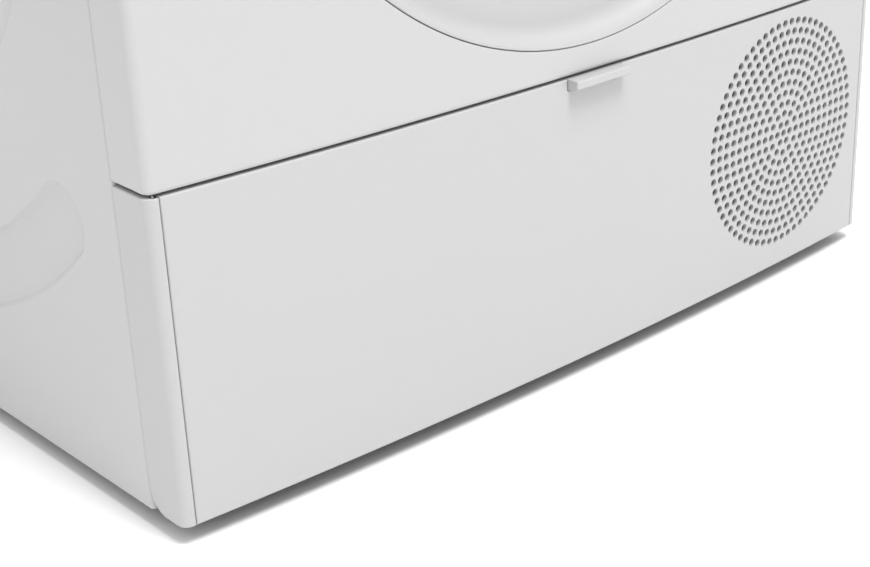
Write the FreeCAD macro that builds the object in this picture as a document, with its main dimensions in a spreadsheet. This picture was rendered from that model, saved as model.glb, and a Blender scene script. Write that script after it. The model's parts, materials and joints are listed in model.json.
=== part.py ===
import FreeCAD, Part
import math
import os
import re
import Sketcher

# Front-loading clothes dryer with a heat pump, in millimetres.
# The origin is on the floor under the middle of the cabinet. +Z is up, the front looks
# along -Y, and +X is to the right of someone who faces the door.
# Depths called "behind the corners" are counted from the plane of the front corners.

SIZES = {
    # cabinet
    "width": 598.0,
    "cabinet_depth": 585.0,
    "height": 842.0,
    "floor_gap": 12.0,
    "bow": 10.5,
    "corner_round": 6.0,
    "trim_depth": 30.0,
    "worktop_thick": 18.0,
    "fascia_height": 102.0,
    "steel": 1.0,
    "front_wall": 1.5,
    "plastic": 2.5,
    "gap": 0.4,
    "run_fit": 0.05,
    # pressed shapes of the side panels
    "press_depth": 3.0,
    "press_slope": 4.0,
    "press_back": 300.0,
    "press_height": 402.0,
    "disc_radius": 230.0,
    "groove_inner": 295.6,
    "groove_outer": 341.4,
    "groove_half_angle": 42.0,
    # service flap and its pull tab
    "seam_height": 200.8,
    "seam_gap": 1.4,
    "strip_width": 7.5,
    "strip_round": 15.0,
    "flap_wall": 3.0,
    "flap_flange": 12.0,
    "flap_pivot_back": 6.0,
    "flap_pivot_rise": 8.0,
    "flap_pin": 2.0,
    "flap_ear": 3.8,
    "flap_ear_in": 26.0,
    "ear_wide": 6.0,
    "tab_centre": 5.0,
    "tab_width": 46.5,
    "tab_proud": 7.8,
    "tab_root": 6.6,
    "tab_lip": 5.0,
    "grille_across": 197.7,
    "grille_rise": 99.4,
    "grille_pitch": 7.2,
    "grille_rings": 11.0,
    "grille_hole": 2.6,
    "grille_bevel": 0.45,
    # door
    "door_height": 452.0,
    "door_radius": 233.4,
    "door_draft": 0.6,
    "door_lip": 0.4,
    "dish_depth": 15.5,
    "dish_slope": 1.0,
    "dish_round": 12.5,
    "door_gap": 0.4,
    "plug_radius": 180.0,
    "plug_taper": 10.0,
    "plug_length": 40.0,
    "seal_radius": 214.0,
    "seal_wide": 9.0,
    "hinge_beyond": 7.6,
    "hinge_proud": 10.0,
    "hinge_spread": 60.0,
    "knuckle": 5.0,
    "knuckle_tall": 16.0,
    "hinge_pin": 2.5,
    "grip_wide": 36.0,
    "grip_proud": 4.5,
    "grip_half_angle": 26.0,
    # front bulkhead and lint filter
    "bulkhead_back": 16.0,
    "mouth_radius": 200.0,
    "mouth_depth": 76.0,
    "filter_wide": 184.0,
    "filter_thick": 22.0,
    "filter_tall": 104.0,
    "filter_back": 59.0,
    # drum and what turns it
    "drum_height": 500.0,
    "drum_radius": 281.0,
    "drum_front": 98.0,
    "drum_length": 427.0,
    "drum_lip": 29.0,
    "vent_radius": 6.0,
    "vent_rings": 5.0,
    "vent_pitch": 26.0,
    "shaft_radius": 12.0,
    "shaft_length": 40.0,
    "paddle_count": 3.0,
    "paddle_wide": 62.0,
    "paddle_tall": 46.0,
    "paddle_crest": 16.0,
    "belt_back": 324.0,
    "belt_wide": 14.0,
    "belt_thick": 2.0,
    "belt_clear": 0.3,
    "motor_across": 30.0,
    "motor_height": 118.0,
    "motor_radius": 46.0,
    "motor_length": 120.0,
    "motor_shaft": 6.0,
    "pulley_radius": 10.0,
    "roller_radius": 22.0,
    "roller_wide": 16.0,
    "roller_axle": 5.0,
    "roller_angle": 30.0,
    # heat pump in the base
    "base_wall": 4.0,
    "base_floor": 26.0,
    "base_tall": 40.0,
    "base_inset": 7.0,
    "base_front": 19.0,
    "coil_left": 252.0,
    "coil_wide": 196.0,
    "coil_floor": 45.0,
    "coil_tall": 145.0,
    "evaporator_front": 90.0,
    "evaporator_deep": 95.0,
    "condenser_front": 200.0,
    "condenser_deep": 120.0,
    "fin_pitch": 8.0,
    "fin_slot": 5.0,
    "cover_front": 24.0,
    "cover_thick": 16.0,
    "lever_long": 34.0,
    "compressor_across": 190.0,
    "compressor_back": 420.0,
    "compressor_radius": 58.0,
    "compressor_tall": 138.0,
    "pump_across": 190.0,
    "cooling_fan_radius": 76.0,
    "cooling_fan_deep": 24.0,
    "cooling_blades": 7.0,
    "fan_hub": 22.0,
    "process_fan_radius": 68.0,
    "process_fan_deep": 46.0,
    "process_blades": 20.0,
    # feet
    "foot_across": 255.0,
    "foot_inset": 80.0,
    "foot_radius": 20.0,
    "foot_pad": 8.0,
    "foot_stem": 5.0,
    "foot_stem_tall": 34.0,
    # control fascia
    "dial_radius": 23.0,
    "dial_proud": 22.0,
    "dial_spindle": 4.0,
    "control_rise": 50.0,
    "power_across": -75.0,
    "power_radius": 9.0,
    "start_across": 262.0,
    "start_radius": 12.0,
    "button_proud": 1.6,
    "button_deep": 7.0,
    "option_first": 172.0,
    "option_pitch": 30.0,
    "option_wide": 18.0,
    "option_tall": 8.0,
    "display_left": 52.0,
    "display_wide": 96.0,
    "display_tall": 34.0,
    # condensate drawer
    "drawer_right": -118.0,
    "tank_left": -284.0,
    "tank_right": -150.0,
    "tank_tall": 70.0,
    "tank_long": 420.0,
}

doc = FreeCAD.newDocument("dryer")
sheet = doc.addObject("Spreadsheet::Sheet", "Sizes")
for row, (alias, number) in enumerate(SIZES.items(), start=1):
    sheet.set("A%d" % row, alias)
    sheet.set("B%d" % row, repr(number))
    sheet.setAlias("B%d" % row, alias)
doc.recompute()

nodes = []

# Places that many pieces share, as expressions of the sheet's cells.
CORNERS = "(0.5*(bow+dial_proud-cabinet_depth))"
BACK = "(0.5*(bow+dial_proud+cabinet_depth))"
BOW_RADIUS = "((width*width/4+bow*bow)/(2*bow))"
HALF = "(width/2)"
SEAM_LOW = "(seam_height-seam_gap/2)"
SEAM_HIGH = "(seam_height+seam_gap/2)"
TOP = "(height-worktop_thick)"
FASCIA = "(height-worktop_thick-fascia_height)"
CONTROL_ROW = "(height-worktop_thick-control_rise)"
FLAP_HALF = "(width/2-strip_width-gap)"
PIVOT_Y = "(%s+flap_pivot_back)" % CORNERS
PIVOT_Z = "(floor_gap+flap_pivot_rise)"
DISH_Y = "(%s-bow+dish_depth)" % CORNERS
HINGE_X = "(door_radius+hinge_beyond)"
SHELL_BACK = "(%s+plastic)" % DISH_Y
PLUG_FLANGE = "(%s+plastic)" % SHELL_BACK


def bound(text):
    """Make each word that is a cell of the sheet refer to that cell."""
    def cell(word):
        return "Sizes." + word.group() if word.group() in SIZES else word.group()
    return re.sub(r"[a-z]\w*", cell, text)


def size(alias):
    """Read one cell as a number, for shapes made in code."""
    return float(getattr(sheet, alias))


def behind(distance):
    """The y of a place that lies this far behind the front corners."""
    return "(%s+(%s))" % (CORNERS, distance)


def surface(across):
    """The y of the bowed front at this distance from the middle."""
    return "(%s-bow+%s-sqrt(%s^2-(%s)^2))" % (CORNERS, BOW_RADIUS, BOW_RADIUS, across)


def surface_number(across, inset=0.0):
    """The same place as a number, on the bowed front or this far inside it."""
    radius = (size("width") ** 2 / 4 + size("bow") ** 2) / (2 * size("bow"))
    corners = (size("bow") + size("dial_proud") - size("cabinet_depth")) / 2
    return corners - size("bow") + radius - math.sqrt((radius - inset) ** 2 - across ** 2)


def bind(item, **places):
    """Bind properties to expressions; two underscores stand for a dot."""
    for place, text in places.items():
        item.setExpression(place.replace("__", "."), bound(str(text)))
    return item


def put(item, x="0", y="0", z="0"):
    """Bind where an item stands."""
    return bind(item, Placement__Base__x=x, Placement__Base__y=y, Placement__Base__z=z)


def turn(item, axis, angle):
    """Give an item a fixed rotation before it is put in place."""
    item.Placement = FreeCAD.Placement(FreeCAD.Vector(), FreeCAD.Rotation(FreeCAD.Vector(axis), angle))
    return item


def node(item, label):
    """Name a finished sub-part."""
    item.Label = label
    nodes.append(item)
    return item


def block(x, y, z):
    """A box between pairs of coordinates."""
    item = doc.addObject("Part::Box", "block")
    bind(item, Length="(%s)-(%s)" % (x[1], x[0]), Width="(%s)-(%s)" % (y[1], y[0]),
         Height="(%s)-(%s)" % (z[1], z[0]))
    return put(item, x[0], y[0], z[0])


def rod(radius, along, start, end, first="0", second="0"):
    """A round bar along one axis; first and second are its other two coordinates, in order."""
    item = doc.addObject("Part::Cylinder", "rod")
    if along == "y":
        turn(item, (1, 0, 0), -90)
    if along == "x":
        turn(item, (0, 1, 0), 90)
    bind(item, Radius=radius, Height="(%s)-(%s)" % (end, start))
    places = [first, second]
    places.insert("xyz".index(along), start)
    return put(item, *places)


def cut(base, *tools):
    """Take each tool away from the base in turn."""
    for tool in tools:
        result = doc.addObject("Part::Cut", "cut")
        result.Base = base
        result.Tool = tool
        base = result
    return base


def fuse(*items):
    """Join touching items into one solid."""
    result = doc.addObject("Part::MultiFuse", "joined")
    result.Shapes = list(items)
    result.Refine = True
    return result


def group(*items):
    """Keep separate solids together as one node."""
    result = doc.addObject("Part::Compound", "group")
    result.Links = list(items)
    return result


def common(first, second):
    """Keep what two items share."""
    result = doc.addObject("Part::Common", "common")
    result.Base = first
    result.Tool = second
    return result


def mirrored(item):
    """The same piece on the other side of the middle plane."""
    result = doc.addObject("Part::Mirroring", "mirrored")
    result.Source = item
    result.Normal = FreeCAD.Vector(1, 0, 0)
    return result


def rounded(item, radius, wanted):
    """Round the edges that the test picks."""
    doc.recompute()
    result = doc.addObject("Part::Fillet", "rounded")
    result.Base = item
    picked = [number for number, edge in enumerate(item.Shape.Edges, start=1) if wanted(edge)]
    result.Edges = [(number, radius, radius) for number in picked]
    return result


def circle_at(radius, y):
    """A test for the circular edge of this radius that lies at this y."""
    def wanted(edge):
        box = edge.BoundBox
        return abs(box.XLength - 2 * radius) < 0.02 and abs(box.YMin - y) < 0.02 and box.YLength < 0.02
    return wanted


def upright_at(across, y):
    """A test for vertical edges that stand this far from the middle and at this y."""
    def wanted(edge):
        box = edge.BoundBox
        thin = box.XLength < 0.01 and box.YLength < 0.01
        return thin and abs(abs(box.XMin) - across) < 0.05 and abs(box.YMin - y) < 0.05
    return wanted


def outline(sketch, points):
    """Draw a closed outline whose corners are bound to the sheet."""
    count = len(points)
    for index in range(count):
        bend = 2 * math.pi * index / count
        after = 2 * math.pi * (index + 1) / count
        sketch.addGeometry(Part.LineSegment(
            FreeCAD.Vector(2 + math.cos(bend), math.sin(bend), 0),
            FreeCAD.Vector(2 + math.cos(after), math.sin(after), 0)), False)
    for index in range(count):
        sketch.addConstraint(Sketcher.Constraint("Coincident", index, 2, (index + 1) % count, 1))
    for index, point in enumerate(points):
        for kind, text in zip(("DistanceX", "DistanceY"), point):
            number = sketch.addConstraint(Sketcher.Constraint(kind, -1, 1, index, 1, 1.0))
            sketch.setExpression("Constraints[%d]" % number, bound(str(text)))


def sketched(body, plane, points):
    """A sketch of one outline on a plane of the body's own origin."""
    sketch = body.newObject("Sketcher::SketchObject", "outline")
    support = [item for item in body.Origin.OriginFeatures if item.Role == plane][0]
    sketch.AttachmentSupport = [(support, "")]
    sketch.MapMode = "FlatFace"
    outline(sketch, points)
    return sketch


def turned(points, x="0", z="0", y="0", upright=False):
    """A turned piece: points are radius and place along its axis, which is Y, or Z if upright."""
    body = doc.addObject("PartDesign::Body", "turned")
    sketch = sketched(body, "XZ_Plane" if upright else "XY_Plane", points)
    revolved = body.newObject("PartDesign::Revolution", "revolved")
    revolved.Profile = sketch
    revolved.ReferenceAxis = (sketch, ["V_Axis"])
    revolved.Angle = 360
    return put(body, x, y, z)


def bowed(x, z, front, back):
    """A slab that follows the bowed front between two depths below its surface."""
    outer = rod("%s-(%s)" % (BOW_RADIUS, front), "z", z[0], z[1], "0",
                "%s-bow+%s" % (CORNERS, BOW_RADIUS))
    inner = rod("%s-(%s)" % (BOW_RADIUS, back), "z", z[0], z[1], "0",
                "%s-bow+%s" % (CORNERS, BOW_RADIUS))
    slab = block(x, (behind("-2*bow"), behind("bow+(%s)" % back)), z)
    return common(slab, cut(outer, inner))


def bow_body(inset, z, depth):
    """The solid of the cabinet's front zone, set in by this much from its outer faces."""
    bulk = block(("-%s+(%s)" % (HALF, inset), "%s-(%s)" % (HALF, inset)),
                 (behind("-2*bow"), behind(depth)), z)
    curve = rod("%s-(%s)" % (BOW_RADIUS, inset), "z", z[0], z[1], "0",
                "%s-bow+%s" % (CORNERS, BOW_RADIUS))
    return common(bulk, curve)


def front_shell(z, floor):
    """A bowed front skin with side returns; floor tells whether its lower edge turns inwards."""
    half = size("width") / 2
    corners = surface_number(half)
    outer = rounded(bow_body("0", z, "trim_depth"), size("corner_round"), upright_at(half, corners))
    low = "%s+front_wall" % z[0] if floor else "%s-1" % z[0]
    wall = size("front_wall")
    inner = rounded(bow_body("front_wall", (low, "%s+1" % z[1]), "trim_depth+1"),
                    size("corner_round") - wall, upright_at(half - wall, surface_number(half - wall, wall)))
    if floor:
        # the lower edge is rounded, and its inward flange is open in the middle
        bottom = size("seam_height") + size("seam_gap") / 2

        def lower(edge):
            box = edge.BoundBox
            return abs(box.ZMax - bottom) < 0.01 and box.YMin < corners + 25
        outer = rounded(outer, wall * 2, lower)
        opening = bow_body("12", ("%s-1" % z[0], "%s+1" % z[1]), "trim_depth+1")
        return cut(outer, inner, opening)
    return cut(outer, inner)


def make_cabinet():
    """Base tray, side panels, back, worktop, front skin and corner strips."""
    inner_half = "(%s-base_inset)" % HALF
    tray = block(("-" + inner_half, inner_half), (behind("base_front"), "%s-6" % BACK),
                 ("base_floor", "base_floor+base_tall"))
    hollow = block(("-%s+base_wall" % inner_half, "%s-base_wall" % inner_half),
                   (behind("base_front+base_wall"), "%s-6-base_wall" % BACK),
                   ("base_floor+base_wall", "base_floor+base_tall+1"))
    bosses = []
    bores = []
    for side in ("-", ""):
        for y in (behind("foot_inset"), "%s-foot_inset" % BACK):
            x = "%sfoot_across" % side
            bosses.append(rod("foot_stem+4", "z", "base_floor", "foot_pad+foot_stem_tall", x, y))
            bores.append(rod("foot_stem+run_fit", "z", "base_floor-1", "base_floor+base_tall", x, y))
        # ears whose stub pins carry the service flap
        near = "%s-flap_ear_in" % HALF
        far = "%s-flap_ear_in+ear_wide" % HALF
        span = (near, far) if side == "" else ("-(%s)" % far, "-(%s)" % near)
        bosses.append(block(span, (PIVOT_Y, behind("base_front+1")),
                            (PIVOT_Z + "-flap_ear", PIVOT_Z + "+flap_ear")))
        bosses.append(rod("flap_ear", "x", span[0], span[1], PIVOT_Y, PIVOT_Z))
        bosses.append(block(span, (behind("base_front"), behind("base_front+base_wall")),
                            (PIVOT_Z + "-flap_ear", "base_floor+base_wall")))
        stub_end = "%s-flap_ear_in-ear_wide-gap-1" % HALF
        stub = (stub_end, near) if side == "" else ("-(%s)" % near, "-(%s)" % stub_end)
        bosses.append(rod("flap_pin", "x", stub[0], stub[1], PIVOT_Y, PIVOT_Z))
    node(cut(fuse(cut(tray, hollow), *bosses), *bores), "base_tray")

    # The left side panel: a sheet with a round pressing and two curved ones round it.
    left = "-%s" % HALF
    height = ("floor_gap", TOP)
    depth = (behind("trim_depth"), "%s-2" % BACK)

    def pressing(grown):
        """The pressed shapes as solids; grown by the sheet's thickness they leave its inner face."""
        centre_y = behind("press_back")

        def bump(radius, slope, y=centre_y, z="press_height"):
            cone = doc.addObject("Part::Cone", "cone")
            turn(cone, (0, 1, 0), 90)
            bind(cone, Radius1="%s+(%s)" % (radius, grown), Radius2="%s+(%s)%s" % (radius, grown, slope),
                 Height="press_depth+%s" % grown)
            return put(cone, left, y, z)
        disc = bump("disc_radius", "-press_slope")
        ring = cut(bump("groove_outer", "-press_slope"),
                   bump("groove_inner-2*(%s)" % grown, "+press_slope"))
        parts = [disc]
        for turn_up in (0, 180):
            wedge = doc.addObject("Part::Cylinder", "wedge")
            swing = FreeCAD.Rotation(FreeCAD.Vector(1, 0, 0), turn_up - size("groove_half_angle"))
            wedge.Placement = FreeCAD.Placement(
                FreeCAD.Vector(), swing.multiply(FreeCAD.Rotation(FreeCAD.Vector(0, 1, 0), 90)))
            bind(wedge, Radius="groove_outer+20", Height="press_depth+10",
                 Angle="2*groove_half_angle")
            put(wedge, left, centre_y, "press_height")
            parts.append(wedge)
        return disc, ring, parts[1:]

    def pressed(grown):
        disc, ring, wedges = pressing(grown)
        shapes = [disc]
        for wedge in wedges:
            shapes.append(common(ring, wedge))
        middle = "((groove_inner+groove_outer)/2)"
        for up in ("-", ""):
            for aft in ("-", ""):
                cone = doc.addObject("Part::Cone", "end")
                turn(cone, (0, 1, 0), 90)
                end = "((groove_outer-groove_inner)/2+(%s))" % grown
                bind(cone, Radius1=end, Radius2="%s-press_slope" % end, Height="press_depth+%s" % grown)
                shapes.append(put(
                    cone, left, "%s+(%s%s*sin(groove_half_angle))" % (behind("press_back"), aft, middle),
                    "press_height+(%s%s*cos(groove_half_angle))" % (up, middle)))
        return shapes
    plate = block((left, "%s+steel" % left), depth, height)
    backs = fuse(plate, *pressed("steel"))
    panel = cut(backs, *pressed("0"))
    node(panel, "side_panel_left")
    node(mirrored(panel), "side_panel_right")

    back = block(("-%s+steel" % HALF, "%s-steel" % HALF), ("%s-3" % BACK, "%s-2" % BACK),
                 ("base_floor", TOP))
    gland = rod("12", "y", "%s-10" % BACK, "%s" % BACK, "-230", "110")
    node(cut(back, gland), "back_panel")
    ring = cut(rod("12", "y", "%s-10" % BACK, "%s" % BACK, "-230", "110"),
               rod("4.5", "y", "%s-11" % BACK, "%s+1" % BACK, "-230", "110"))
    node(ring, "mains_gland")
    heads = []
    for across in (-1, 0, 1):
        for up in (0.08, 0.5, 0.94):
            if across or up != 0.5:
                heads.append(rod("4", "y", "%s-2" % BACK, BACK, "%d*(width/2-12)" % across,
                                 "base_floor+(%s-base_floor)*%g" % (TOP, up)))
    node(group(*heads), "back_screws")

    slab = block(("-" + HALF, HALF), (behind("-2*bow"), BACK), (TOP, "height"))
    curve = rod(BOW_RADIUS, "z", TOP, "height", "0", "%s-bow+%s" % (CORNERS, BOW_RADIUS))
    worktop = common(slab, curve)
    node(rounded(worktop, 4.0, lambda edge: edge.BoundBox.ZMin > size("height") - 0.01
                 and edge.BoundBox.YMax < size("cabinet_depth") / 2), "worktop")

    skin = front_shell((SEAM_HIGH, FASCIA + "-gap"), True)
    hole = rod("door_radius+door_gap", "y", behind("-3*bow"), behind("3*bow"), "0", "door_height")
    slots = [block((HINGE_X + "-knuckle-gap", HINGE_X + "+knuckle+gap"),
                   (behind("-3*bow"), behind("3*bow")), span) for span in lug_spans("gap")]
    node(cut(skin, hole, *slots), "front_panel")

    low_shell = front_shell(("floor_gap", SEAM_LOW), False)
    corner = block(("-%s" % HALF, "-%s+strip_width" % HALF),
                   (behind("-2*bow"), behind("trim_depth+1")), ("floor_gap", SEAM_LOW))
    trim_end = surface_number(size("width") / 2) + size("trim_depth")

    def rear_foot(edge):
        box = edge.BoundBox
        low = box.ZMax < size("floor_gap") + 0.01
        return low and box.YMin > trim_end - 0.01 and box.XLength < 2
    strip = rounded(common(low_shell, corner), size("strip_round"), rear_foot)
    node(strip, "corner_strip_left")
    node(mirrored(strip), "corner_strip_right")


def lug_spans(grown):
    """Heights of the four fixed lugs of the door's hinge, grown on both sides."""
    spans = []
    for side in (-1, 1):
        middle = "(door_height+(%d)*hinge_spread)" % side
        for end in (-1, 1):
            near = "%s+(%d)*(knuckle_tall/2+gap)" % (middle, end)
            far = "%s+(%d)*(knuckle_tall/2+gap+6)" % (middle, end)
            low, high = (near, far) if end == 1 else (far, near)
            spans.append(("%s-(%s)" % (low, grown), "%s+(%s)" % (high, grown)))
    return spans


def make_flap():
    """The bowed service flap with its ring pattern of holes, and the pull tab in its top edge."""
    span = ("-" + FLAP_HALF, FLAP_HALF)
    face = bowed(span, ("floor_gap", SEAM_LOW), "0", "flap_flange")
    room = bowed(("-%s+flap_wall" % FLAP_HALF, "%s-flap_wall" % FLAP_HALF),
                 ("floor_gap-1", SEAM_LOW + "-flap_wall"), "flap_wall", "flap_flange+1")
    low = size("floor_gap")
    high = size("seam_height") - size("seam_gap") / 2

    def front_edge(edge):
        box = edge.BoundBox
        flat = box.ZLength < 0.01 and (abs(box.ZMin - low) < 0.01 or abs(box.ZMin - high) < 0.01)
        middle = edge.valueAt((edge.FirstParameter + edge.LastParameter) / 2)
        return flat and abs(middle.y - surface_number(middle.x)) < 0.05
    shell = cut(rounded(face, 1.2, front_edge), room)
    tab_low = "(%s-tab_root-gap)" % SEAM_LOW
    notch = block(("tab_centre-tab_width/2-gap", "tab_centre+tab_width/2+gap"),
                  (behind("-3*bow"), behind("3*bow")), (tab_low, SEAM_LOW + "+1"))
    lugs = []
    bores = []
    for side in (-1, 1):
        ends = ["%d*(%s-flap_ear_in-gap-ear_wide)" % (side, HALF), "%d*(%s-flap_ear_in-gap)" % (side, HALF)]
        ends = ends if side == 1 else ends[::-1]
        lugs.append(rod("4.4", "x", ends[0], ends[1], PIVOT_Y, PIVOT_Z))
        lugs.append(cut(block(ends, (behind("-bow"), PIVOT_Y), (PIVOT_Z + "-4.4", PIVOT_Z + "+4.4")),
                        bow_outside()))
        bores.append(rod("flap_pin+run_fit", "x", "(%s)-1" % ends[0], "(%s)+1" % ends[1], PIVOT_Y, PIVOT_Z))
    holes = doc.addObject("Part::Feature", "grille_holes")
    holes.Shape = grille_tools()
    node(cut(cut(fuse(cut(shell, notch), *lugs), *bores), holes), "service_flap")

    half = "(tab_width/2)"
    body = block(("tab_centre-%s" % half, "tab_centre+%s" % half),
                 ("%s-tab_proud" % surface("0"), surface("0") + "+flap_flange-2"),
                 (SEAM_LOW + "-tab_root", SEAM_LOW))
    slope = doc.addObject("Part::Wedge", "slope")
    bind(slope, Xmin="0", Xmax="tab_width+2", X2min="0", X2max="tab_width+2", Ymin="0", Ymax="tab_proud",
         Zmin="0", Zmax="tab_root-tab_lip", Z2min="0", Z2max="0.01")
    put(slope, "tab_centre-%s-1" % half, "%s-tab_proud" % surface("0"), SEAM_LOW + "-tab_root-0.001")
    lip = surface_number(0) - size("tab_proud")
    tab = rounded(cut(body, slope), 0.9, lambda edge: edge.BoundBox.YMax < lip + 0.01)
    scoop = block(("tab_centre-%s+3" % half, "tab_centre+%s-3" % half),
                  ("%s-tab_proud+2.4" % surface("0"), surface("0") + "-1.2"),
                  (SEAM_LOW + "-tab_root-1", SEAM_LOW + "-tab_root+2.4"))
    hook = block(("tab_centre-6", "tab_centre+6"),
                 (surface("0") + "+flap_flange-5.5", surface("0") + "+flap_flange-2"),
                 (SEAM_LOW + "-tab_root-8", SEAM_LOW + "-tab_root"))
    node(fuse(cut(tab, scoop), hook), "flap_release_tab")


def bow_outside():
    """Everything in front of the bowed surface, as a tool for trimming what stands behind it."""
    bulk = block(("-%s-5" % HALF, "%s+5" % HALF), (behind("-4*bow"), behind("2*bow")),
                 ("floor_gap-5", "height+5"))
    curve = rod("%s-0.5" % BOW_RADIUS, "z", "floor_gap-6", "height+6", "0",
                "%s-bow+%s" % (CORNERS, BOW_RADIUS))
    return cut(bulk, curve)


def grille_tools():
    """Bevelled drills on rings round the grille's centre; ring number k has six times k of them."""
    hole = size("grille_hole")
    bevel = size("grille_bevel")
    deep = size("flap_wall") + 2
    corners = [(0, -2), (hole + bevel, -2), (hole + bevel, 0), (hole, bevel), (hole, deep), (0, deep)]
    wire = Part.makePolygon([FreeCAD.Vector(*corner) for corner in corners + corners[:1]])
    drill = Part.Face(wire).revolve(FreeCAD.Vector(), FreeCAD.Vector(0, 1, 0), 360)
    drills = []
    for ring in range(int(size("grille_rings")) + 1):
        count = max(1, 6 * ring)
        for step in range(count):
            bearing = 2 * math.pi * step / count
            x = size("grille_across") + ring * size("grille_pitch") * math.cos(bearing)
            z = size("floor_gap") + size("grille_rise") + ring * size("grille_pitch") * math.sin(bearing)
            drills.append(drill.translated(FreeCAD.Vector(x, surface_number(x), z)))
    return Part.makeCompound(drills)


def make_door():
    """Dished door shell, inner plug, seal, grip, latch hook and hinge."""
    lip_y = "(%s-bow)" % CORNERS
    grip_y = "(%s-bow-grip_proud)" % CORNERS
    shell = turned([("0", DISH_Y), ("door_radius-door_lip-dish_slope", DISH_Y),
                    ("door_radius-door_lip", lip_y), ("door_radius", lip_y),
                    ("door_radius-door_draft", SHELL_BACK), ("0", SHELL_BACK)], z="door_height")
    dish_y = surface_number(0) + size("dish_depth")
    foot = size("door_radius") - size("door_lip") - size("dish_slope")
    dished = rounded(shell, size("dish_round"), circle_at(foot, dish_y))
    around = ("door_height-door_radius-5", "door_height+door_radius+5")
    door_shell = node(common(dished, bow_body("0", around, "trim_depth")), "door_outer_shell")

    rear = "(%s+plug_length)" % PLUG_FLANGE
    node(turned([("door_radius-5", SHELL_BACK), ("door_radius-5", PLUG_FLANGE),
                 ("plug_radius", PLUG_FLANGE), ("plug_radius-plug_taper", rear), ("0", rear),
                 ("0", rear + "-plastic"), ("plug_radius-plug_taper-plastic", rear + "-plastic"),
                 ("plug_radius-plastic", SHELL_BACK)], z="door_height"), "door_inner_plug")
    seal_back = behind("bulkhead_back-gap")
    node(turned([("seal_radius-seal_wide", PLUG_FLANGE), ("seal_radius", PLUG_FLANGE),
                 ("seal_radius-2", seal_back), ("seal_radius-seal_wide+2", seal_back)],
                z="door_height"), "door_seal")

    grip = cut(rod("door_radius", "y", grip_y, grip_y + "+3", "0", "door_height"),
               rod("door_radius-grip_wide", "y", grip_y + "-1", grip_y + "+4", "0", "door_height"))
    wedge = doc.addObject("Part::Cylinder", "wedge")
    turn(wedge, (1, 0, 0), -90)
    swing = FreeCAD.Rotation(FreeCAD.Vector(0, 1, 0), 180 - size("grip_half_angle"))
    wedge.Placement = FreeCAD.Placement(
        FreeCAD.Vector(), swing.multiply(FreeCAD.Rotation(FreeCAD.Vector(1, 0, 0), -90)))
    bind(wedge, Radius="door_radius", Height="30", Angle="2*grip_half_angle")
    put(wedge, "0", grip_y + "-5", "door_height")
    arc_plate = common(grip, wedge)
    posts = []
    for side in (-1, 1):
        across = "-(door_radius-13)*cos(grip_half_angle-4)"
        up = "door_height+%d*(door_radius-13)*sin(grip_half_angle-4)" % side
        posts.append(rod("5", "y", grip_y + "+2", DISH_Y, across, up))
    node(cut(fuse(arc_plate, *posts), door_shell), "door_grip")

    node(block(("-seal_radius-16", "-seal_radius-6"), (PLUG_FLANGE, behind("bulkhead_back+16")),
               ("door_height-6", "door_height+6")), "door_latch_hook")

    hinge_y = "(%s-hinge_proud)" % CORNERS
    arms = []
    for side in (-1, 1):
        middle = "(door_height+(%d)*hinge_spread)" % side
        span = (middle + "-knuckle_tall/2", middle + "+knuckle_tall/2")
        leaf_front = hinge_y + "-knuckle+1.2"
        leaf = block((HINGE_X + "-46", HINGE_X), (leaf_front, hinge_y + "+knuckle-1.2"), span)
        foot = block((HINGE_X + "-46", HINGE_X + "-35"), (leaf_front, DISH_Y), span)
        barrel = rod("knuckle", "z", span[0], span[1], HINGE_X, hinge_y)
        bore = rod("hinge_pin+run_fit", "z", span[0] + "-1", span[1] + "+1", HINGE_X, hinge_y)
        arms.append(cut(fuse(leaf, foot, barrel), bore))
    node(group(*arms), "door_hinge_arms")

    plate_y = (behind("front_wall"), behind("front_wall+2"))
    plate = block((HINGE_X + "-knuckle", HINGE_X + "+34"), plate_y,
                  ("door_height-hinge_spread-20", "door_height+hinge_spread+20"))
    lugs = []
    bores = []
    pins = []
    for span in lug_spans("0"):
        lugs.append(block((HINGE_X + "-knuckle", HINGE_X + "+knuckle"), (hinge_y, plate_y[1]), span))
        lugs.append(rod("knuckle", "z", span[0], span[1], HINGE_X, hinge_y))
        bores.append(rod("hinge_pin", "z", span[0] + "-0.1", span[1] + "+0.1", HINGE_X, hinge_y))
    spans = lug_spans("0")
    for low, high in ((spans[0], spans[1]), (spans[2], spans[3])):
        pins.append(rod("hinge_pin", "z", low[0], high[1], HINGE_X, hinge_y))
    node(group(cut(fuse(plate, *lugs), *bores), *pins), "door_hinge_bracket")


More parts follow.
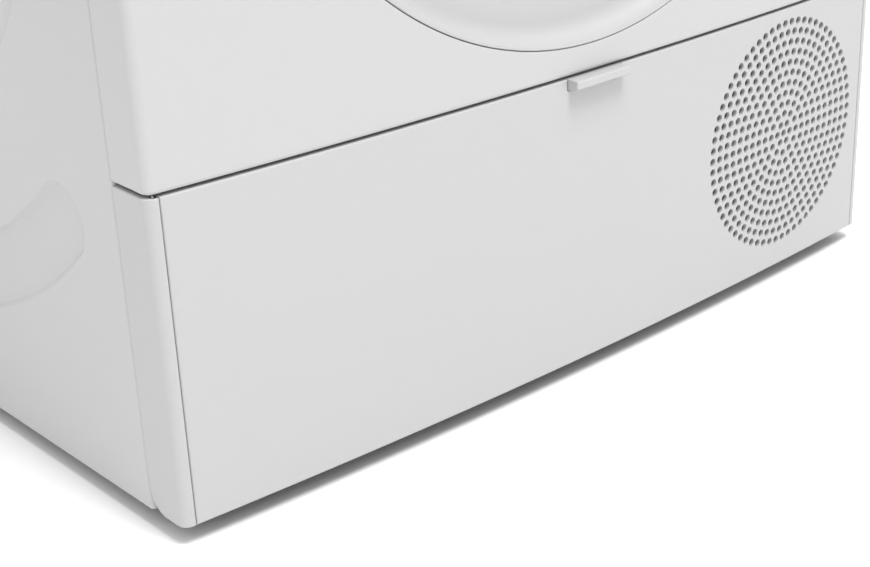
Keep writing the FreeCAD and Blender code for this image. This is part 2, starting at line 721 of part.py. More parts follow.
def make_bulkhead():
    """The mouth between door and drum, with the filter's slot, its duct, the filter and the lock."""
    plate_y = (behind("bulkhead_back"), behind("bulkhead_back+plastic"))
    mouth_back = behind("bulkhead_back+mouth_depth")
    plate = block(("-%s+6" % HALF, "%s-6" % HALF), plate_y, (SEAM_HIGH + "+4", FASCIA + "-3"))
    neck = rod("mouth_radius+plastic", "y", plate_y[0], mouth_back, "0", "door_height")
    disc = rod("drum_radius-7", "y", mouth_back + "-3", mouth_back, "0", "drum_height")
    through = rod("mouth_radius", "y", plate_y[0] + "-1", mouth_back + "+1", "0", "door_height")
    slot = block(("-filter_wide/2-4", "filter_wide/2+4"),
                 (behind("filter_back-2"), behind("filter_back+filter_thick+2")),
                 ("door_height-mouth_radius-20", "door_height-mouth_radius*0.6"))
    hook_slot = block(("-seal_radius-20", "-seal_radius-2"), (plate_y[0] + "-1", plate_y[1] + "+1"),
                      ("door_height-10", "door_height+10"))
    node(cut(fuse(plate, neck, disc), through, slot, hook_slot), "front_bulkhead")
    lock = block(("-seal_radius-24", "-seal_radius+2"), (plate_y[1], behind("bulkhead_back+30")),
                 ("door_height-18", "door_height+18"))
    pocket = block(("-seal_radius-20", "-seal_radius-2"), (plate_y[1] + "-1", behind("bulkhead_back+20")),
                   ("door_height-10", "door_height+10"))
    node(cut(lock, pocket), "door_lock")

    floor_z = "(door_height-mouth_radius-filter_tall+6)"
    wall = "plastic"
    duct = block(("-filter_wide/2-2-%s" % wall, "filter_wide/2+2+%s" % wall),
                 (behind("filter_back-2-plastic"), behind("filter_back+filter_thick+2+plastic")),
                 (floor_z + "-14", "door_height-mouth_radius*0.8"))
    space = block(("-filter_wide/2-2", "filter_wide/2+2"),
                  (behind("filter_back-2"), behind("filter_back+filter_thick+2")),
                  (floor_z + "-14+plastic", "door_height"))
    keep_off = rod("mouth_radius+plastic", "y", behind("0"), mouth_back, "0", "door_height")
    node(cut(duct, space, keep_off), "filter_duct")

    frame = block(("-filter_wide/2", "filter_wide/2"),
                  (behind("filter_back"), behind("filter_back+filter_thick")),
                  (floor_z, "door_height-mouth_radius*0.7"))
    mouth = rod("mouth_radius", "y", behind("0"), mouth_back, "0", "door_height")
    window = block(("-filter_wide/2+8", "filter_wide/2-8"),
                   (behind("filter_back-1"), behind("filter_back+filter_thick+1")),
                   (floor_z + "+8", "door_height-mouth_radius-12"))
    mesh = block(("-filter_wide/2+7", "filter_wide/2-7"),
                 (behind("filter_back+filter_thick/2-0.6"), behind("filter_back+filter_thick/2+0.6")),
                 (floor_z + "+7", "door_height-mouth_radius-11"))
    tongue = block(("-22", "22"), (behind("filter_back+7"), behind("filter_back+filter_thick-7")),
                   ("door_height-mouth_radius-4", "door_height-mouth_radius+12"))
    node(fuse(cut(frame, mouth, window), mesh, tongue), "lint_filter")


def make_drum():
    """Drum, paddles, shaft, bearing, rear wall, belt, motor, pulley, rollers and fans' air path."""
    front = behind("drum_front")
    rear = behind("drum_front+drum_length")
    inner = "(drum_radius-steel)"
    shell = turned([("drum_radius-drum_lip", front), ("drum_radius", front), ("drum_radius", rear),
                    ("shaft_radius", rear), ("shaft_radius", rear + "-2*steel"),
                    (inner, rear + "-2*steel"), (inner, front + "+steel"),
                    ("drum_radius-drum_lip", front + "+steel")], z="drum_height")
    vents = doc.addObject("Part::Feature", "vents")
    vents.Shape = vent_tools()
    node(cut(shell, vents), "drum")
    paddles = []
    for index in range(int(size("paddle_count"))):
        wedge = doc.addObject("Part::Wedge", "paddle")
        bind(wedge, Xmin="-paddle_wide/2", Xmax="paddle_wide/2", X2min="-paddle_crest/2",
             X2max="paddle_crest/2", Ymin="0", Ymax="paddle_tall", Zmin="0", Zmax="drum_length-24",
             Z2min="30", Z2max="drum_length-54")
        # stands on the drum's wall with its crest towards the axis
        bearing = 360.0 * index / size("paddle_count") + 30
        stand = FreeCAD.Rotation(FreeCAD.Vector(0, 1, 0), bearing)
        lay = FreeCAD.Rotation(FreeCAD.Vector(1, 0, 0), 90)
        wedge.Placement = FreeCAD.Placement(FreeCAD.Vector(), stand.multiply(lay))
        put(wedge, "-(%s-2)*sin(%g)" % (inner, bearing), rear + "-10",
            "drum_height-(%s-2)*cos(%g)" % (inner, bearing))
        paddles.append(wedge)
    room = rod(inner, "y", front + "+2*steel", rear + "-2*steel", "0", "drum_height")
    node(common(group(*paddles), room), "drum_paddles")
    flange = rod("shaft_radius+16", "y", rear, rear + "+3", "0", "drum_height")
    shaft = rod("shaft_radius", "y", rear + "-2*steel", rear + "+shaft_length", "0", "drum_height")
    node(fuse(flange, shaft), "drum_shaft")

    wall_y = behind("drum_front+drum_length+8")
    plate = block(("-%s+6" % HALF, "%s-6" % HALF), (wall_y, wall_y + "+2*steel"),
                  (SEAM_HIGH + "+4", TOP + "-2"))
    air = rod("195", "y", wall_y + "-1", wall_y + "+3*steel", "0", "drum_height")
    hub = rod("36", "y", wall_y, wall_y + "+2*steel", "0", "drum_height")
    spokes = [block(("-14", "14"), (wall_y, wall_y + "+2*steel"), ("drum_height-198", "drum_height+198")),
              block(("-198", "198"), (wall_y, wall_y + "+2*steel"), ("drum_height-14", "drum_height+14"))]
    seat = rod("shaft_radius+12", "y", wall_y + "-1", wall_y + "+3*steel", "0", "drum_height")
    node(cut(fuse(cut(plate, air), hub, *spokes), seat), "rear_wall")
    bush = turned([("shaft_radius+run_fit", wall_y + "-2"), ("shaft_radius+12", wall_y + "-2"),
                   ("shaft_radius+12", wall_y + "+2*steel"), ("shaft_radius+18", wall_y + "+2*steel"),
                   ("shaft_radius+18", wall_y + "+20"), ("shaft_radius+run_fit", wall_y + "+20")],
                  z="drum_height")
    node(bush, "drum_bearing")

    duct_front = wall_y + "+2*steel"
    duct_back = "%s-4" % BACK
    bell = rod("206", "y", duct_front, duct_back, "0", "drum_height")
    riser = block(("-95", "115"), (duct_front, duct_back), ("base_floor+base_tall+2", "drum_height"))
    bell_room = rod("203.5", "y", duct_front + "-1", duct_back + "-plastic", "0", "drum_height")
    riser_room = block(("-92.5", "112.5"), (duct_front + "-1", duct_back + "-plastic"),
                       ("base_floor+base_tall+4.5", "drum_height"))
    node(cut(fuse(bell, riser), fuse(bell_room, riser_room)), "rear_air_duct")

    make_belt_drive()


def vent_tools():
    """Drills for the air holes in the drum's back, on rings round its axis."""
    radius = size("vent_radius")
    y = surface_number(size("width") / 2) + size("drum_front") + size("drum_length") - 5
    drills = []
    for ring in range(2, int(size("vent_rings")) + 3):
        count = 6 * ring
        for step in range(count):
            bearing = 2 * math.pi * step / count
            x = ring * size("vent_pitch") * math.cos(bearing)
            z = size("drum_height") + ring * size("vent_pitch") * math.sin(bearing)
            drills.append(Part.makeCylinder(radius, 10, FreeCAD.Vector(x, y, z), FreeCAD.Vector(0, 1, 0)))
    return Part.makeCompound(drills)


def loop_face(grow):
    """The area inside a line stretched round drum and pulley, grown outwards."""
    drum = (0.0, size("drum_height"), size("drum_radius") + size("belt_clear") + grow)
    small = (size("motor_across"), size("motor_height"), size("pulley_radius") + size("belt_clear") + grow)
    reach = math.hypot(small[0] - drum[0], small[1] - drum[1])
    bearing = math.atan2(small[1] - drum[1], small[0] - drum[0])
    spread = math.acos((drum[2] - small[2]) / reach)
    y = surface_number(size("width") / 2) + size("belt_back")

    def on(circle, angle):
        return FreeCAD.Vector(circle[0] + circle[2] * math.cos(angle), y, circle[1] + circle[2] * math.sin(angle))
    up, down = bearing + spread, bearing - spread
    edges = [Part.LineSegment(on(small, up), on(drum, up)).toShape(),
             Part.Arc(on(drum, up), on(drum, bearing + math.pi), on(drum, down)).toShape(),
             Part.LineSegment(on(drum, down), on(small, down)).toShape(),
             Part.Arc(on(small, down), on(small, bearing), on(small, up)).toShape()]
    return Part.Face(Part.Wire(edges))


def make_belt_drive():
    """Belt, motor with its shaft and pulley, process fan in its housing, and the drum's rollers."""
    belt = doc.addObject("Part::Feature", "belt")
    wide = FreeCAD.Vector(0, size("belt_wide"), 0)
    belt.Shape = loop_face(size("belt_thick")).extrude(wide).cut(loop_face(0).extrude(wide))
    node(belt, "drive_belt")

    where = ("motor_across", "motor_height")
    belt_front = behind("belt_back-2")
    motor_front = behind("belt_back+belt_wide+8")
    motor_back = "(%s+motor_length)" % motor_front
    can = rounded(rod("motor_radius", "y", motor_front, motor_back, *where), 5.0,
                  lambda edge: edge.BoundBox.YLength < 0.01)
    stand = block(("motor_across-34", "motor_across+34"), (motor_front + "+12", motor_back + "-12"),
                  ("base_floor+base_wall", "motor_height-motor_radius+9"))
    bore = rod("motor_shaft+run_fit", "y", motor_front + "-1", motor_back + "+1", *where)
    node(cut(fuse(can, stand), bore), "drum_motor")
    fan_front = "(%s+14)" % motor_back
    fan_back = "(%s+process_fan_deep)" % fan_front
    shaft = rod("motor_shaft", "y", belt_front, fan_back + "-2", *where)
    wheel = turned([("motor_shaft-1", belt_front), ("pulley_radius+3", belt_front),
                    ("pulley_radius+3", behind("belt_back-0.5")), ("pulley_radius", behind("belt_back-0.5")),
                    ("pulley_radius", behind("belt_back+belt_wide+0.5")),
                    ("pulley_radius+3", behind("belt_back+belt_wide+0.5")),
                    ("pulley_radius+3", behind("belt_back+belt_wide+2")),
                    ("motor_shaft-1", behind("belt_back+belt_wide+2"))], *where)
    node(fuse(shaft, wheel), "motor_shaft_pulley")

    hub = turned([("motor_shaft", fan_front), ("motor_shaft+8", fan_front),
                  ("motor_shaft+8", fan_back + "-6"), ("process_fan_radius", fan_back + "-6"),
                  ("process_fan_radius", fan_back + "-4"), ("motor_shaft", fan_back + "-4")], *where)
    blades = []
    count = int(size("process_blades"))
    for index in range(count):
        blade = doc.addObject("Part::Box", "blade")
        bearing = 360.0 * index / count
        # each blade is a plate near the rim that leans back from the radius
        lean = FreeCAD.Rotation(FreeCAD.Vector(0, 1, 0), bearing + 35)
        blade.Placement = FreeCAD.Placement(FreeCAD.Vector(), lean)
        bind(blade, Length="16", Width=fan_back + "-6-" + fan_front, Height="2")
        put(blade, "motor_across+(process_fan_radius-16)*cos(%g)" % bearing, fan_front,
            "motor_height-(process_fan_radius-16)*sin(%g)" % bearing)
        blades.append(blade)
    inside = rod("process_fan_radius", "y", fan_front, fan_back, *where)
    eye_ring = cut(rod("process_fan_radius", "y", fan_front, fan_front + "+2", *where),
                   rod("process_fan_radius-18", "y", fan_front + "-1", fan_front + "+3", *where))
    node(fuse(hub, eye_ring, common(group(*blades), inside)), "process_fan")

    scroll = rod("process_fan_radius+9", "y", motor_back + "+8", fan_back + "+5", *where)
    box_part = block(("-coil_left+12", "motor_across"), (motor_back + "+8", fan_back + "+5"),
                     ("base_floor+base_wall", "base_floor+base_wall+130"))
    scroll_room = rod("process_fan_radius+6.5", "y", motor_back + "+10.5", fan_back + "+2.5", *where)
    box_room = block(("-coil_left+14.5", "motor_across"), (motor_back + "+10.5", fan_back + "+2.5"),
                     ("base_floor+base_wall+2.5", "base_floor+base_wall+127.5"))
    shaft_hole = rod("motor_shaft+3", "y", motor_back, fan_front + "+4", *where)
    inlet = block(("-coil_left+20", "-coil_left+coil_wide-10"), (motor_back, motor_back + "+12"),
                  ("base_floor+base_wall+12", "base_floor+base_wall+118"))
    outlet = block(("motor_across-40", "motor_across+40"), (fan_back, fan_back + "+8"),
                   ("motor_height-10", "motor_height+40"))
    node(cut(fuse(scroll, box_part), fuse(scroll_room, box_room), shaft_hole, inlet, outlet), "fan_housing")

    reach = "(drum_radius+belt_clear+roller_radius)"
    axles = []
    for side, label in ((-1, "left"), (1, "right")):
        x = "%d*%s*sin(roller_angle)" % (side, reach)
        z = "drum_height-%s*cos(roller_angle)" % reach
        start = behind("drum_front+8")
        end = behind("drum_front+8+roller_wide")
        tyre = turned([("roller_axle+run_fit", start), ("roller_radius-1", start),
                       ("roller_radius", start + "+1"), ("roller_radius", end + "-1"),
                       ("roller_radius-1", end), ("roller_axle+run_fit", end)], x, z)
        node(tyre, "front_roller_" + label)
        axle = rod("roller_axle", "y", behind("bulkhead_back+mouth_depth"), end + "+1", x, z)
        collar = rod("roller_axle+4", "y", behind("bulkhead_back+mouth_depth"), start + "-gap", x, z)
        cap = rod("roller_axle+2", "y", end + "+gap", end + "+2", x, z)
        axles.append(fuse(axle, collar, cap))
    node(group(*axles), "roller_axles")


def make_heat_pump():
    """Finned coils, service cover with its levers, compressor, pump and cooling fan."""
    span = ("-coil_left", "-coil_left+coil_wide")
    for label, start, deep in (("evaporator", "evaporator_front", "evaporator_deep"),
                               ("condenser", "condenser_front", "condenser_deep")):
        coil = block(span, (behind(start), behind("%s+%s" % (start, deep))),
                     ("coil_floor", "coil_floor+coil_tall"))
        slots = []
        for index in range(int((size("coil_wide") - 8) / size("fin_pitch"))):
            x = "-coil_left+5+%d*fin_pitch" % index
            slots.append(block((x, x + "+fin_slot"),
                               (behind("%s-1" % start), behind("%s+%s+1" % (start, deep))),
                               ("coil_floor+4", "coil_floor+coil_tall-4")))
        node(cut(coil, group(*slots)), label)

    cover = block(("-coil_left-4", "-coil_left+coil_wide+4"),
                  (behind("cover_front"), behind("cover_front+cover_thick")),
                  ("base_floor+base_wall", "coil_floor+coil_tall"))
    panel_room = block(("-coil_left+2", "-coil_left+coil_wide-2"),
                       (behind("cover_front+3"), behind("cover_front+cover_thick+1")),
                       ("base_floor+base_wall+6", "coil_floor+coil_tall-6"))
    ribs = []
    for index in range(3):
        ribs.append(block(("-coil_left+30", "-coil_left+coil_wide-30"),
                          (behind("cover_front-1"), behind("cover_front+0.8")),
                          ("coil_floor+30+%d*36" % index, "coil_floor+36+%d*36" % index)))
    lever_z = "(coil_floor+coil_tall/2)"
    seats = []
    levers = []
    for side, x in (("left", "(-coil_left+14)"), ("right", "(-coil_left+coil_wide-14)")):
        seats.append(rod("5+run_fit", "y", behind("cover_front-2"), behind("cover_front+4"), x, lever_z))
        spindle = rod("5", "y", behind("cover_front-6"), behind("cover_front+6"), x, lever_z)
        knob = rod("10", "y", behind("cover_front-7.5"), behind("cover_front-gap"), x, lever_z)
        arm = block((x + "-5", x + "+5"), (behind("cover_front-7.5"), behind("cover_front-gap")),
                    (lever_z, lever_z + "+lever_long"))
        levers.append((fuse(spindle, knob, arm), "cover_lever_" + side))
    node(cut(cut(cover, panel_room, *ribs), *seats), "heat_exchanger_cover")
    for lever, label in levers:
        node(lever, label)

    low = "(base_floor+base_wall)"
    capsule = turned([("0", low), ("compressor_radius-14", low), ("compressor_radius-14", low + "+6"),
                      ("compressor_radius", low + "+14"),
                      ("compressor_radius", low + "+compressor_tall-24"),
                      ("compressor_radius-22", low + "+compressor_tall"), ("0", low + "+compressor_tall")],
                     "compressor_across", "0", behind("compressor_back"), upright=True)
    node(capsule, "compressor")
    pump = fuse(block(("pump_across-28", "pump_across+28"), ("%s-72" % BACK, "%s-22" % BACK),
                      (low, low + "+34")),
                rod("18", "z", low + "+34", low + "+66", "pump_across", "%s-47" % BACK))
    node(pump, "condensate_pump")

    fan_at = ("grille_across", "floor_gap+grille_rise")
    fan_front = behind("base_front+8")
    frame_back = "(%s+cooling_fan_deep+8)" % fan_front
    shroud = block(("grille_across-cooling_fan_radius-5", "grille_across+cooling_fan_radius+5"),
                   (fan_front, frame_back),
                   ("base_floor+base_wall", "floor_gap+grille_rise+cooling_fan_radius+5"))
    air = rod("cooling_fan_radius+2", "y", fan_front + "-1", frame_back + "-4", *fan_at)
    rear = rod("cooling_fan_radius-6", "y", frame_back + "-5", frame_back + "+1", *fan_at)
    bars = [block(("grille_across-cooling_fan_radius", "grille_across+cooling_fan_radius"),
                  (frame_back + "-4", frame_back), ("floor_gap+grille_rise-5", "floor_gap+grille_rise+5")),
            rod("fan_hub-3", "y", frame_back + "-4", frame_back, *fan_at)]
    bore = rod("3+run_fit", "y", frame_back + "-5", frame_back + "+1", *fan_at)
    node(cut(fuse(cut(shroud, air, rear), *bars), bore), "cooling_fan_frame")
    hub = rod("fan_hub", "y", fan_front + "+1", fan_front + "+cooling_fan_deep", *fan_at)
    axle = rod("3", "y", fan_front + "+cooling_fan_deep", frame_back, *fan_at)
    blades = []
    count = int(size("cooling_blades"))
    for index in range(count):
        blade = doc.addObject("Part::Box", "blade")
        bearing = 360.0 * index / count + 4
        around = FreeCAD.Rotation(FreeCAD.Vector(0, 1, 0), bearing)
        pitch = FreeCAD.Rotation(FreeCAD.Vector(1, 0, 0), 28)
        blade.Placement = FreeCAD.Placement(FreeCAD.Vector(), around.multiply(pitch))
        bind(blade, Length="cooling_fan_radius", Width="2.4", Height="34")
        put(blade, "grille_across+(fan_hub-6)*cos(%g)" % bearing, fan_front + "+cooling_fan_deep-4",
            "floor_gap+grille_rise-(fan_hub-6)*sin(%g)" % bearing)
        blades.append(blade)
    swept = rod("cooling_fan_radius", "y", fan_front + "+2", fan_front + "+cooling_fan_deep", *fan_at)
    node(fuse(hub, axle, common(group(*blades), swept)), "cooling_fan")


def make_feet():
    """Two screw-adjusted front feet and two fixed rear feet."""
    rear = []
    for side, label in (("-", "left"), ("", "right")):
        x = "%sfoot_across" % side
        profile = [("0", "0"), ("foot_radius", "0"), ("foot_radius", "foot_pad-2"),
                   ("foot_radius-3", "foot_pad"), ("foot_stem", "foot_pad"),
                   ("foot_stem", "foot_pad+foot_stem_tall"), ("0", "foot_pad+foot_stem_tall")]
        node(turned(profile, x, "0", behind("foot_inset"), upright=True), "front_foot_" + label)
        rear.append(turned(profile, x, "0", "%s-foot_inset" % BACK, upright=True))
    node(group(*rear), "rear_feet")


def make_controls():
    """Fascia, display, board, dial, buttons and the condensate drawer."""
    z = (FASCIA, TOP + "-gap")
    shell = front_shell(z, False)
    keep = block(("drawer_right+gap", "%s+1" % HALF), (behind("-3*bow"), behind("trim_depth+1")), z)
    drawer = block(("-%s-1" % HALF, "drawer_right"), (behind("-3*bow"), behind("trim_depth+1")), z)
    display_x = ("display_left", "display_left+display_wide")
    display_z = (CONTROL_ROW + "-display_tall/2", CONTROL_ROW + "+display_tall/2")
    window_hole = block(display_x, (behind("-3*bow"), behind("3*bow")), display_z)
    cuts = [window_hole, rod("dial_spindle+run_fit", "y", behind("-3*bow"), behind("bow"), "0", CONTROL_ROW)]
    rounds = (("power_button", "power_across", "power_radius"), ("start_button", "start_across", "start_radius"))
    for label, across, radius in rounds:
        cuts.append(rod("%s+gap" % radius, "y", behind("-3*bow"), behind("bow"), across, CONTROL_ROW))
    options = []
    for index, label in enumerate(("option_button_left", "option_button_right")):
        x = "(option_first+%d*option_pitch)" % index
        cuts.append(block((x + "-option_wide/2-gap", x + "+option_wide/2+gap"),
                          (behind("-3*bow"), behind("bow")),
                          (CONTROL_ROW + "-option_tall/2-gap", CONTROL_ROW + "+option_tall/2+gap")))
        options.append((x, label))
    node(cut(common(shell, keep), *cuts), "control_panel")
    node(bowed(display_x, display_z, "0", "front_wall+1"), "display_window")

    board = block(("-60", "284"), (behind("24"), behind("26")), (CONTROL_ROW + "-32", CONTROL_ROW + "+32"))
    lumps = [block(("-40", "10"), (behind("26"), behind("48")), (CONTROL_ROW + "-24", CONTROL_ROW + "+10")),
             block(("60", "140"), (behind("26"), behind("38")), (CONTROL_ROW + "-10", CONTROL_ROW + "+24")),
             block(("170", "262"), (behind("26"), behind("44")), (CONTROL_ROW + "-20", CONTROL_ROW + "+20"))]
    node(fuse(board, *lumps), "control_board")

    face = surface("0")
    dial = turned([("0", face + "-dial_proud"), ("dial_radius-3", face + "-dial_proud"),
                   ("dial_radius-1", face + "-dial_proud+2"), ("dial_radius", face + "-gap"),
                   ("dial_spindle", face + "-gap"), ("dial_spindle", behind("4")), ("0", behind("4"))],
                  z=CONTROL_ROW)
    node(dial, "program_dial")
    for label, across, radius in rounds:
        out = surface(across)
        node(turned([("0", out + "-button_proud"), (radius + "-1", out + "-button_proud"),
                     (radius, out + "-button_proud+1"), (radius, out + "+button_deep"),
                     ("0", out + "+button_deep")], across, CONTROL_ROW), label)
    for x, label in options:
        out = surface(x)
        node(block((x + "-option_wide/2", x + "+option_wide/2"), (out + "-button_proud", out + "+button_deep"),
                   (CONTROL_ROW + "-option_tall/2", CONTROL_ROW + "+option_tall/2")), label)

    node(common(shell, drawer), "container_front")
    tank_z = ("(%s-8-tank_tall)" % TOP, "(%s-8)" % TOP)
    bulk = block(("tank_left", "tank_right"), (behind("-2*bow"), behind("tank_long")), tank_z)
    trim = rod("%s-front_wall" % BOW_RADIUS, "z", tank_z[0], tank_z[1], "0",
               "%s-bow+%s" % (CORNERS, BOW_RADIUS))
    room = block(("tank_left+plastic", "tank_right-plastic"), (behind("6"), behind("tank_long-plastic")),
                 (tank_z[0] + "+plastic", tank_z[1] + "-plastic"))
    spout = rod("9", "z", tank_z[1] + "-plastic-1", tank_z[1] + "+1", "(tank_left+tank_right)/2",
                behind("tank_long-30"))
    node(cut(common(bulk, trim), room, spout), "condensate_tank")
    shelf = block(("tank_left-3", "tank_right+2"), (behind("24"), behind("tank_long+8")),
                  (tank_z[0] + "-gap-2", tank_z[0] + "-gap"))
    stop = block(("tank_left-3", "tank_right+2"), (behind("tank_long+gap"), behind("tank_long+gap+3")),
                 (tank_z[0] + "-gap-2", tank_z[0] + "+30"))
    node(fuse(shelf, stop), "tank_shelf")


def check_and_write():
    """Refuse a failed document, then write each sub-part."""
    doc.recompute()
    for item in doc.Objects:
        if "Invalid" in item.State or "Error" in item.State:
            raise RuntimeError("%s (%s) failed" % (item.Name, item.Label))
    for item in nodes:
        if item.Shape.isNull() or not item.Shape.isValid():
            raise RuntimeError("%s has no sound shape" % item.Label)
        if not item.Shape.Solids:
            raise RuntimeError("%s has no solid" % item.Label)
    os.makedirs("parts", exist_ok=True)
    for item in nodes:
        item.Shape.exportStep(os.path.join("parts", item.Label + ".step"))
    print("%d sub-parts" % len(nodes))


make_cabinet()
make_flap()
make_door()
make_bulkhead()
make_drum()
make_heat_pump()
make_feet()
make_controls()
check_and_write()
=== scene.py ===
import json
import math

import bmesh
import bpy
from bpy.props import FloatProperty, FloatVectorProperty, IntProperty, PointerProperty
from bpy.types import Operator, Panel, PropertyGroup
from mathutils import Euler, Matrix, Vector
from mathutils.geometry import delaunay_2d_cdt


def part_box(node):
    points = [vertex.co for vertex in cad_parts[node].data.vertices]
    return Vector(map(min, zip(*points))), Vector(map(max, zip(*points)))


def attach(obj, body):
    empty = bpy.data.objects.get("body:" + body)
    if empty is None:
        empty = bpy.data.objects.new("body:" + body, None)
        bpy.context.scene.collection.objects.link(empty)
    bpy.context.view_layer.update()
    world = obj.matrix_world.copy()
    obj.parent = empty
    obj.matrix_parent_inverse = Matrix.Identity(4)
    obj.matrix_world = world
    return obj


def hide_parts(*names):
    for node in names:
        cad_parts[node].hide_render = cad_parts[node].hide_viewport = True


bl_info = {
    "name": "Clothes Dryer",
    "version": (1, 0, 0),
    "blender": (4, 5, 0),
    "location": "View3D > Sidebar > Dryer",
    "description": "Dresses the packed frame of a front-loading clothes dryer",
    "category": "Object",
}

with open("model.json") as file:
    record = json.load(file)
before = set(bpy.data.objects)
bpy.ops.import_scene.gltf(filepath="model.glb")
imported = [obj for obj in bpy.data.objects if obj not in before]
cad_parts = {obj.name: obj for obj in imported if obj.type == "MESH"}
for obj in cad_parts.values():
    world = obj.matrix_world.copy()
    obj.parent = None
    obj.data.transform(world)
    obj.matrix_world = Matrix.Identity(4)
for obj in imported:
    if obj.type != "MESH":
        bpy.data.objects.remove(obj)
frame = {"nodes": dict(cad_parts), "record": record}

# Places that come from the frame, in metres.
SIDE_LOW, SIDE_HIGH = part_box("side_panel_left")
PANEL_LOW, PANEL_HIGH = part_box("front_panel")
FLAP_LOW, FLAP_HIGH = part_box("service_flap")
STRIP_LOW, STRIP_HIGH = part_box("corner_strip_left")
TAB_LOW, TAB_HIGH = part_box("flap_release_tab")
SHELL_LOW, SHELL_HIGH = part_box("door_outer_shell")
SEAL_LOW, SEAL_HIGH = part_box("door_seal")
DIAL_LOW, DIAL_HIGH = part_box("program_dial")
FAN_LOW, FAN_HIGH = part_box("cooling_fan")
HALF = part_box("worktop")[1].x
BASE_Z = SIDE_LOW.z
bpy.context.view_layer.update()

MM = 0.001
# Where a turned outline starts, just off its axis.
NEAR_AXIS = 0.4 * MM
TRIM_DEPTH = 30 * MM
CORNERS_Y = SIDE_LOW.y - TRIM_DEPTH
BOW = CORNERS_Y - PANEL_LOW.y
BOW_RADIUS = (HALF ** 2 + BOW ** 2) / (2 * BOW)
BOW_CENTRE = CORNERS_Y - BOW + BOW_RADIUS
DOOR_RADIUS = (SHELL_HIGH.x - SHELL_LOW.x) / 2
DOOR_Z = (SHELL_HIGH.z + SHELL_LOW.z) / 2


# ---------------------------------------------------------------- settings

def length(name, text, millimetres):
    return FloatProperty(name=name, description=text, default=millimetres * MM, unit="LENGTH", precision=5)


def tint(name, text, red, green, blue):
    return FloatVectorProperty(name=name, description=text, subtype="COLOR", size=3, min=0, max=1,
                               default=(red, green, blue))


class DryerColours(PropertyGroup):
    """Colours of the finishes."""

    white_enamel: tint("Enamel", "Painted steel of the cabinet", 0.475, 0.475, 0.475)
    white_plastic: tint("White plastic", "Flap, strips, door and fascia", 0.455, 0.455, 0.455)
    white_laminate: tint("Worktop", "Laminate of the worktop", 0.54, 0.54, 0.54)
    grey_plastic: tint("Grey plastic", "Mouldings inside the machine", 0.33, 0.34, 0.36)
    dark_plastic: tint("Dark plastic", "Base tray, levers and filter", 0.02, 0.02, 0.023)
    zinc_steel: tint("Zinc", "Zinc-plated sheet and pins", 0.50, 0.51, 0.53)
    drum_steel: tint("Drum steel", "Stainless steel of the drum", 0.56, 0.57, 0.59)
    black_rubber: tint("Rubber", "Seal, belt, rollers and feet", 0.018, 0.018, 0.018)
    bearing_bronze: tint("Bronze", "Sintered bearing", 0.42, 0.25, 0.10)
    coil_aluminium: tint("Aluminium", "Fins of the coils", 0.68, 0.69, 0.70)
    black_enamel: tint("Black enamel", "Compressor and motor", 0.012, 0.012, 0.014)
    board: tint("Board", "Control board", 0.012, 0.07, 0.03)
    display_glass: tint("Display", "Smoked window", 0.008, 0.008, 0.010)


class DryerShapes(PropertyGroup):
    """Sizes of edges, pressings and holes."""

    corner_round: length("Corner", "Rounding of the front skin's upright corners", 6)
    seam_round: length("Seam edge", "Rounding of the front panel's lower edge", 3)
    door_edge: length("Door opening's edge", "Rounding of the panel round the door", 1.3)
    door_gap: length("Door gap", "Room between the door and the panel", 0.4)
    fold_round: length("Side fold", "Rounding of the side panel's front edge", 2.4)
    press_depth: length("Pressing depth", "How deep the side panels are pressed", 3)
    press_slope: length("Pressing slope", "Width of the soft slope round each pressing", 5)
    press_back: length("Pressing centre", "How far the pressings' centre is behind the corners", 300)
    press_height: length("Pressing height", "Height of the pressings' centre", 402)
    disc_radius: length("Disc", "Radius of the round pressing", 230)
    groove_inner: length("Groove, inside", "Inner radius of the curved pressings", 295.6)
    groove_outer: length("Groove, outside", "Outer radius of the curved pressings", 341.4)
    groove_angle: FloatProperty(name="Groove angle", description="Half the angle of a curved pressing",
                                subtype="ANGLE", default=math.radians(42))
    grille_pitch: length("Grille pitch", "Distance between the rings of holes", 7.2)
    grille_hole: length("Grille hole", "Radius of a hole", 2.6)
    grille_lip: length("Grille lip", "Rounding of a hole's edge", 0.45)
    grille_rings: IntProperty(name="Rings", description="Number of rings of holes", default=11, min=1)
    flap_edge: length("Flap edge", "Rounding of the flap's edges", 1.2)
    flap_wall: length("Flap wall", "Thickness of the flap", 3)
    flap_flange: length("Flap flange", "Depth of the flap's turned edge", 12)
    sheet: length("Sheet", "Thickness of the steel sheet", 1)
    front_wall: length("Front wall", "Thickness of the front skin", 1.5)
    dish_round: length("Dish round", "Rounding between the door's wall and its flat", 12.5)
    dish_depth: length("Dish depth", "Depth of the door's flat below the front", 15.5)
    flutes: IntProperty(name="Flutes", description="Number of grooves round the dial", default=36, min=8)


class DryerStage(PropertyGroup):
    """Camera, floor and light."""

    lens: FloatProperty(name="Lens", description="Focal length in millimetres", default=70.51,
                        min=10, max=300)
    shift: FloatProperty(name="Shift", description="Sideways shift of the lens", default=-0.19195)
    camera: FloatVectorProperty(name="Camera", description="Where the camera stands, from the middle of the "
                                "line of the front corners at the cabinet's lower edge",
                                subtype="TRANSLATION", size=3, default=(-0.700629, -0.69477, 0.493984))
    yaw: FloatProperty(name="Yaw", description="How far the camera turns to the right of straight ahead",
                       subtype="ANGLE", default=math.radians(46.096))
    pitch: FloatProperty(name="Pitch", description="How far the camera looks down",
                         subtype="ANGLE", default=math.radians(24.386))
    sky: FloatProperty(name="Light overhead", description="Strength of the light straight above",
                       default=1.4, min=0)
    horizon: FloatProperty(name="Light around", description="Strength of the light at eye level",
                           default=0.5, min=0)
    glow: FloatProperty(name="Floor glow", description="Light that the floor gives off", default=0.0, min=0)
    key: FloatProperty(name="Key light", description="Power of the soft box",
                       default=80, min=0, subtype="POWER")


# ---------------------------------------------------------------- materials

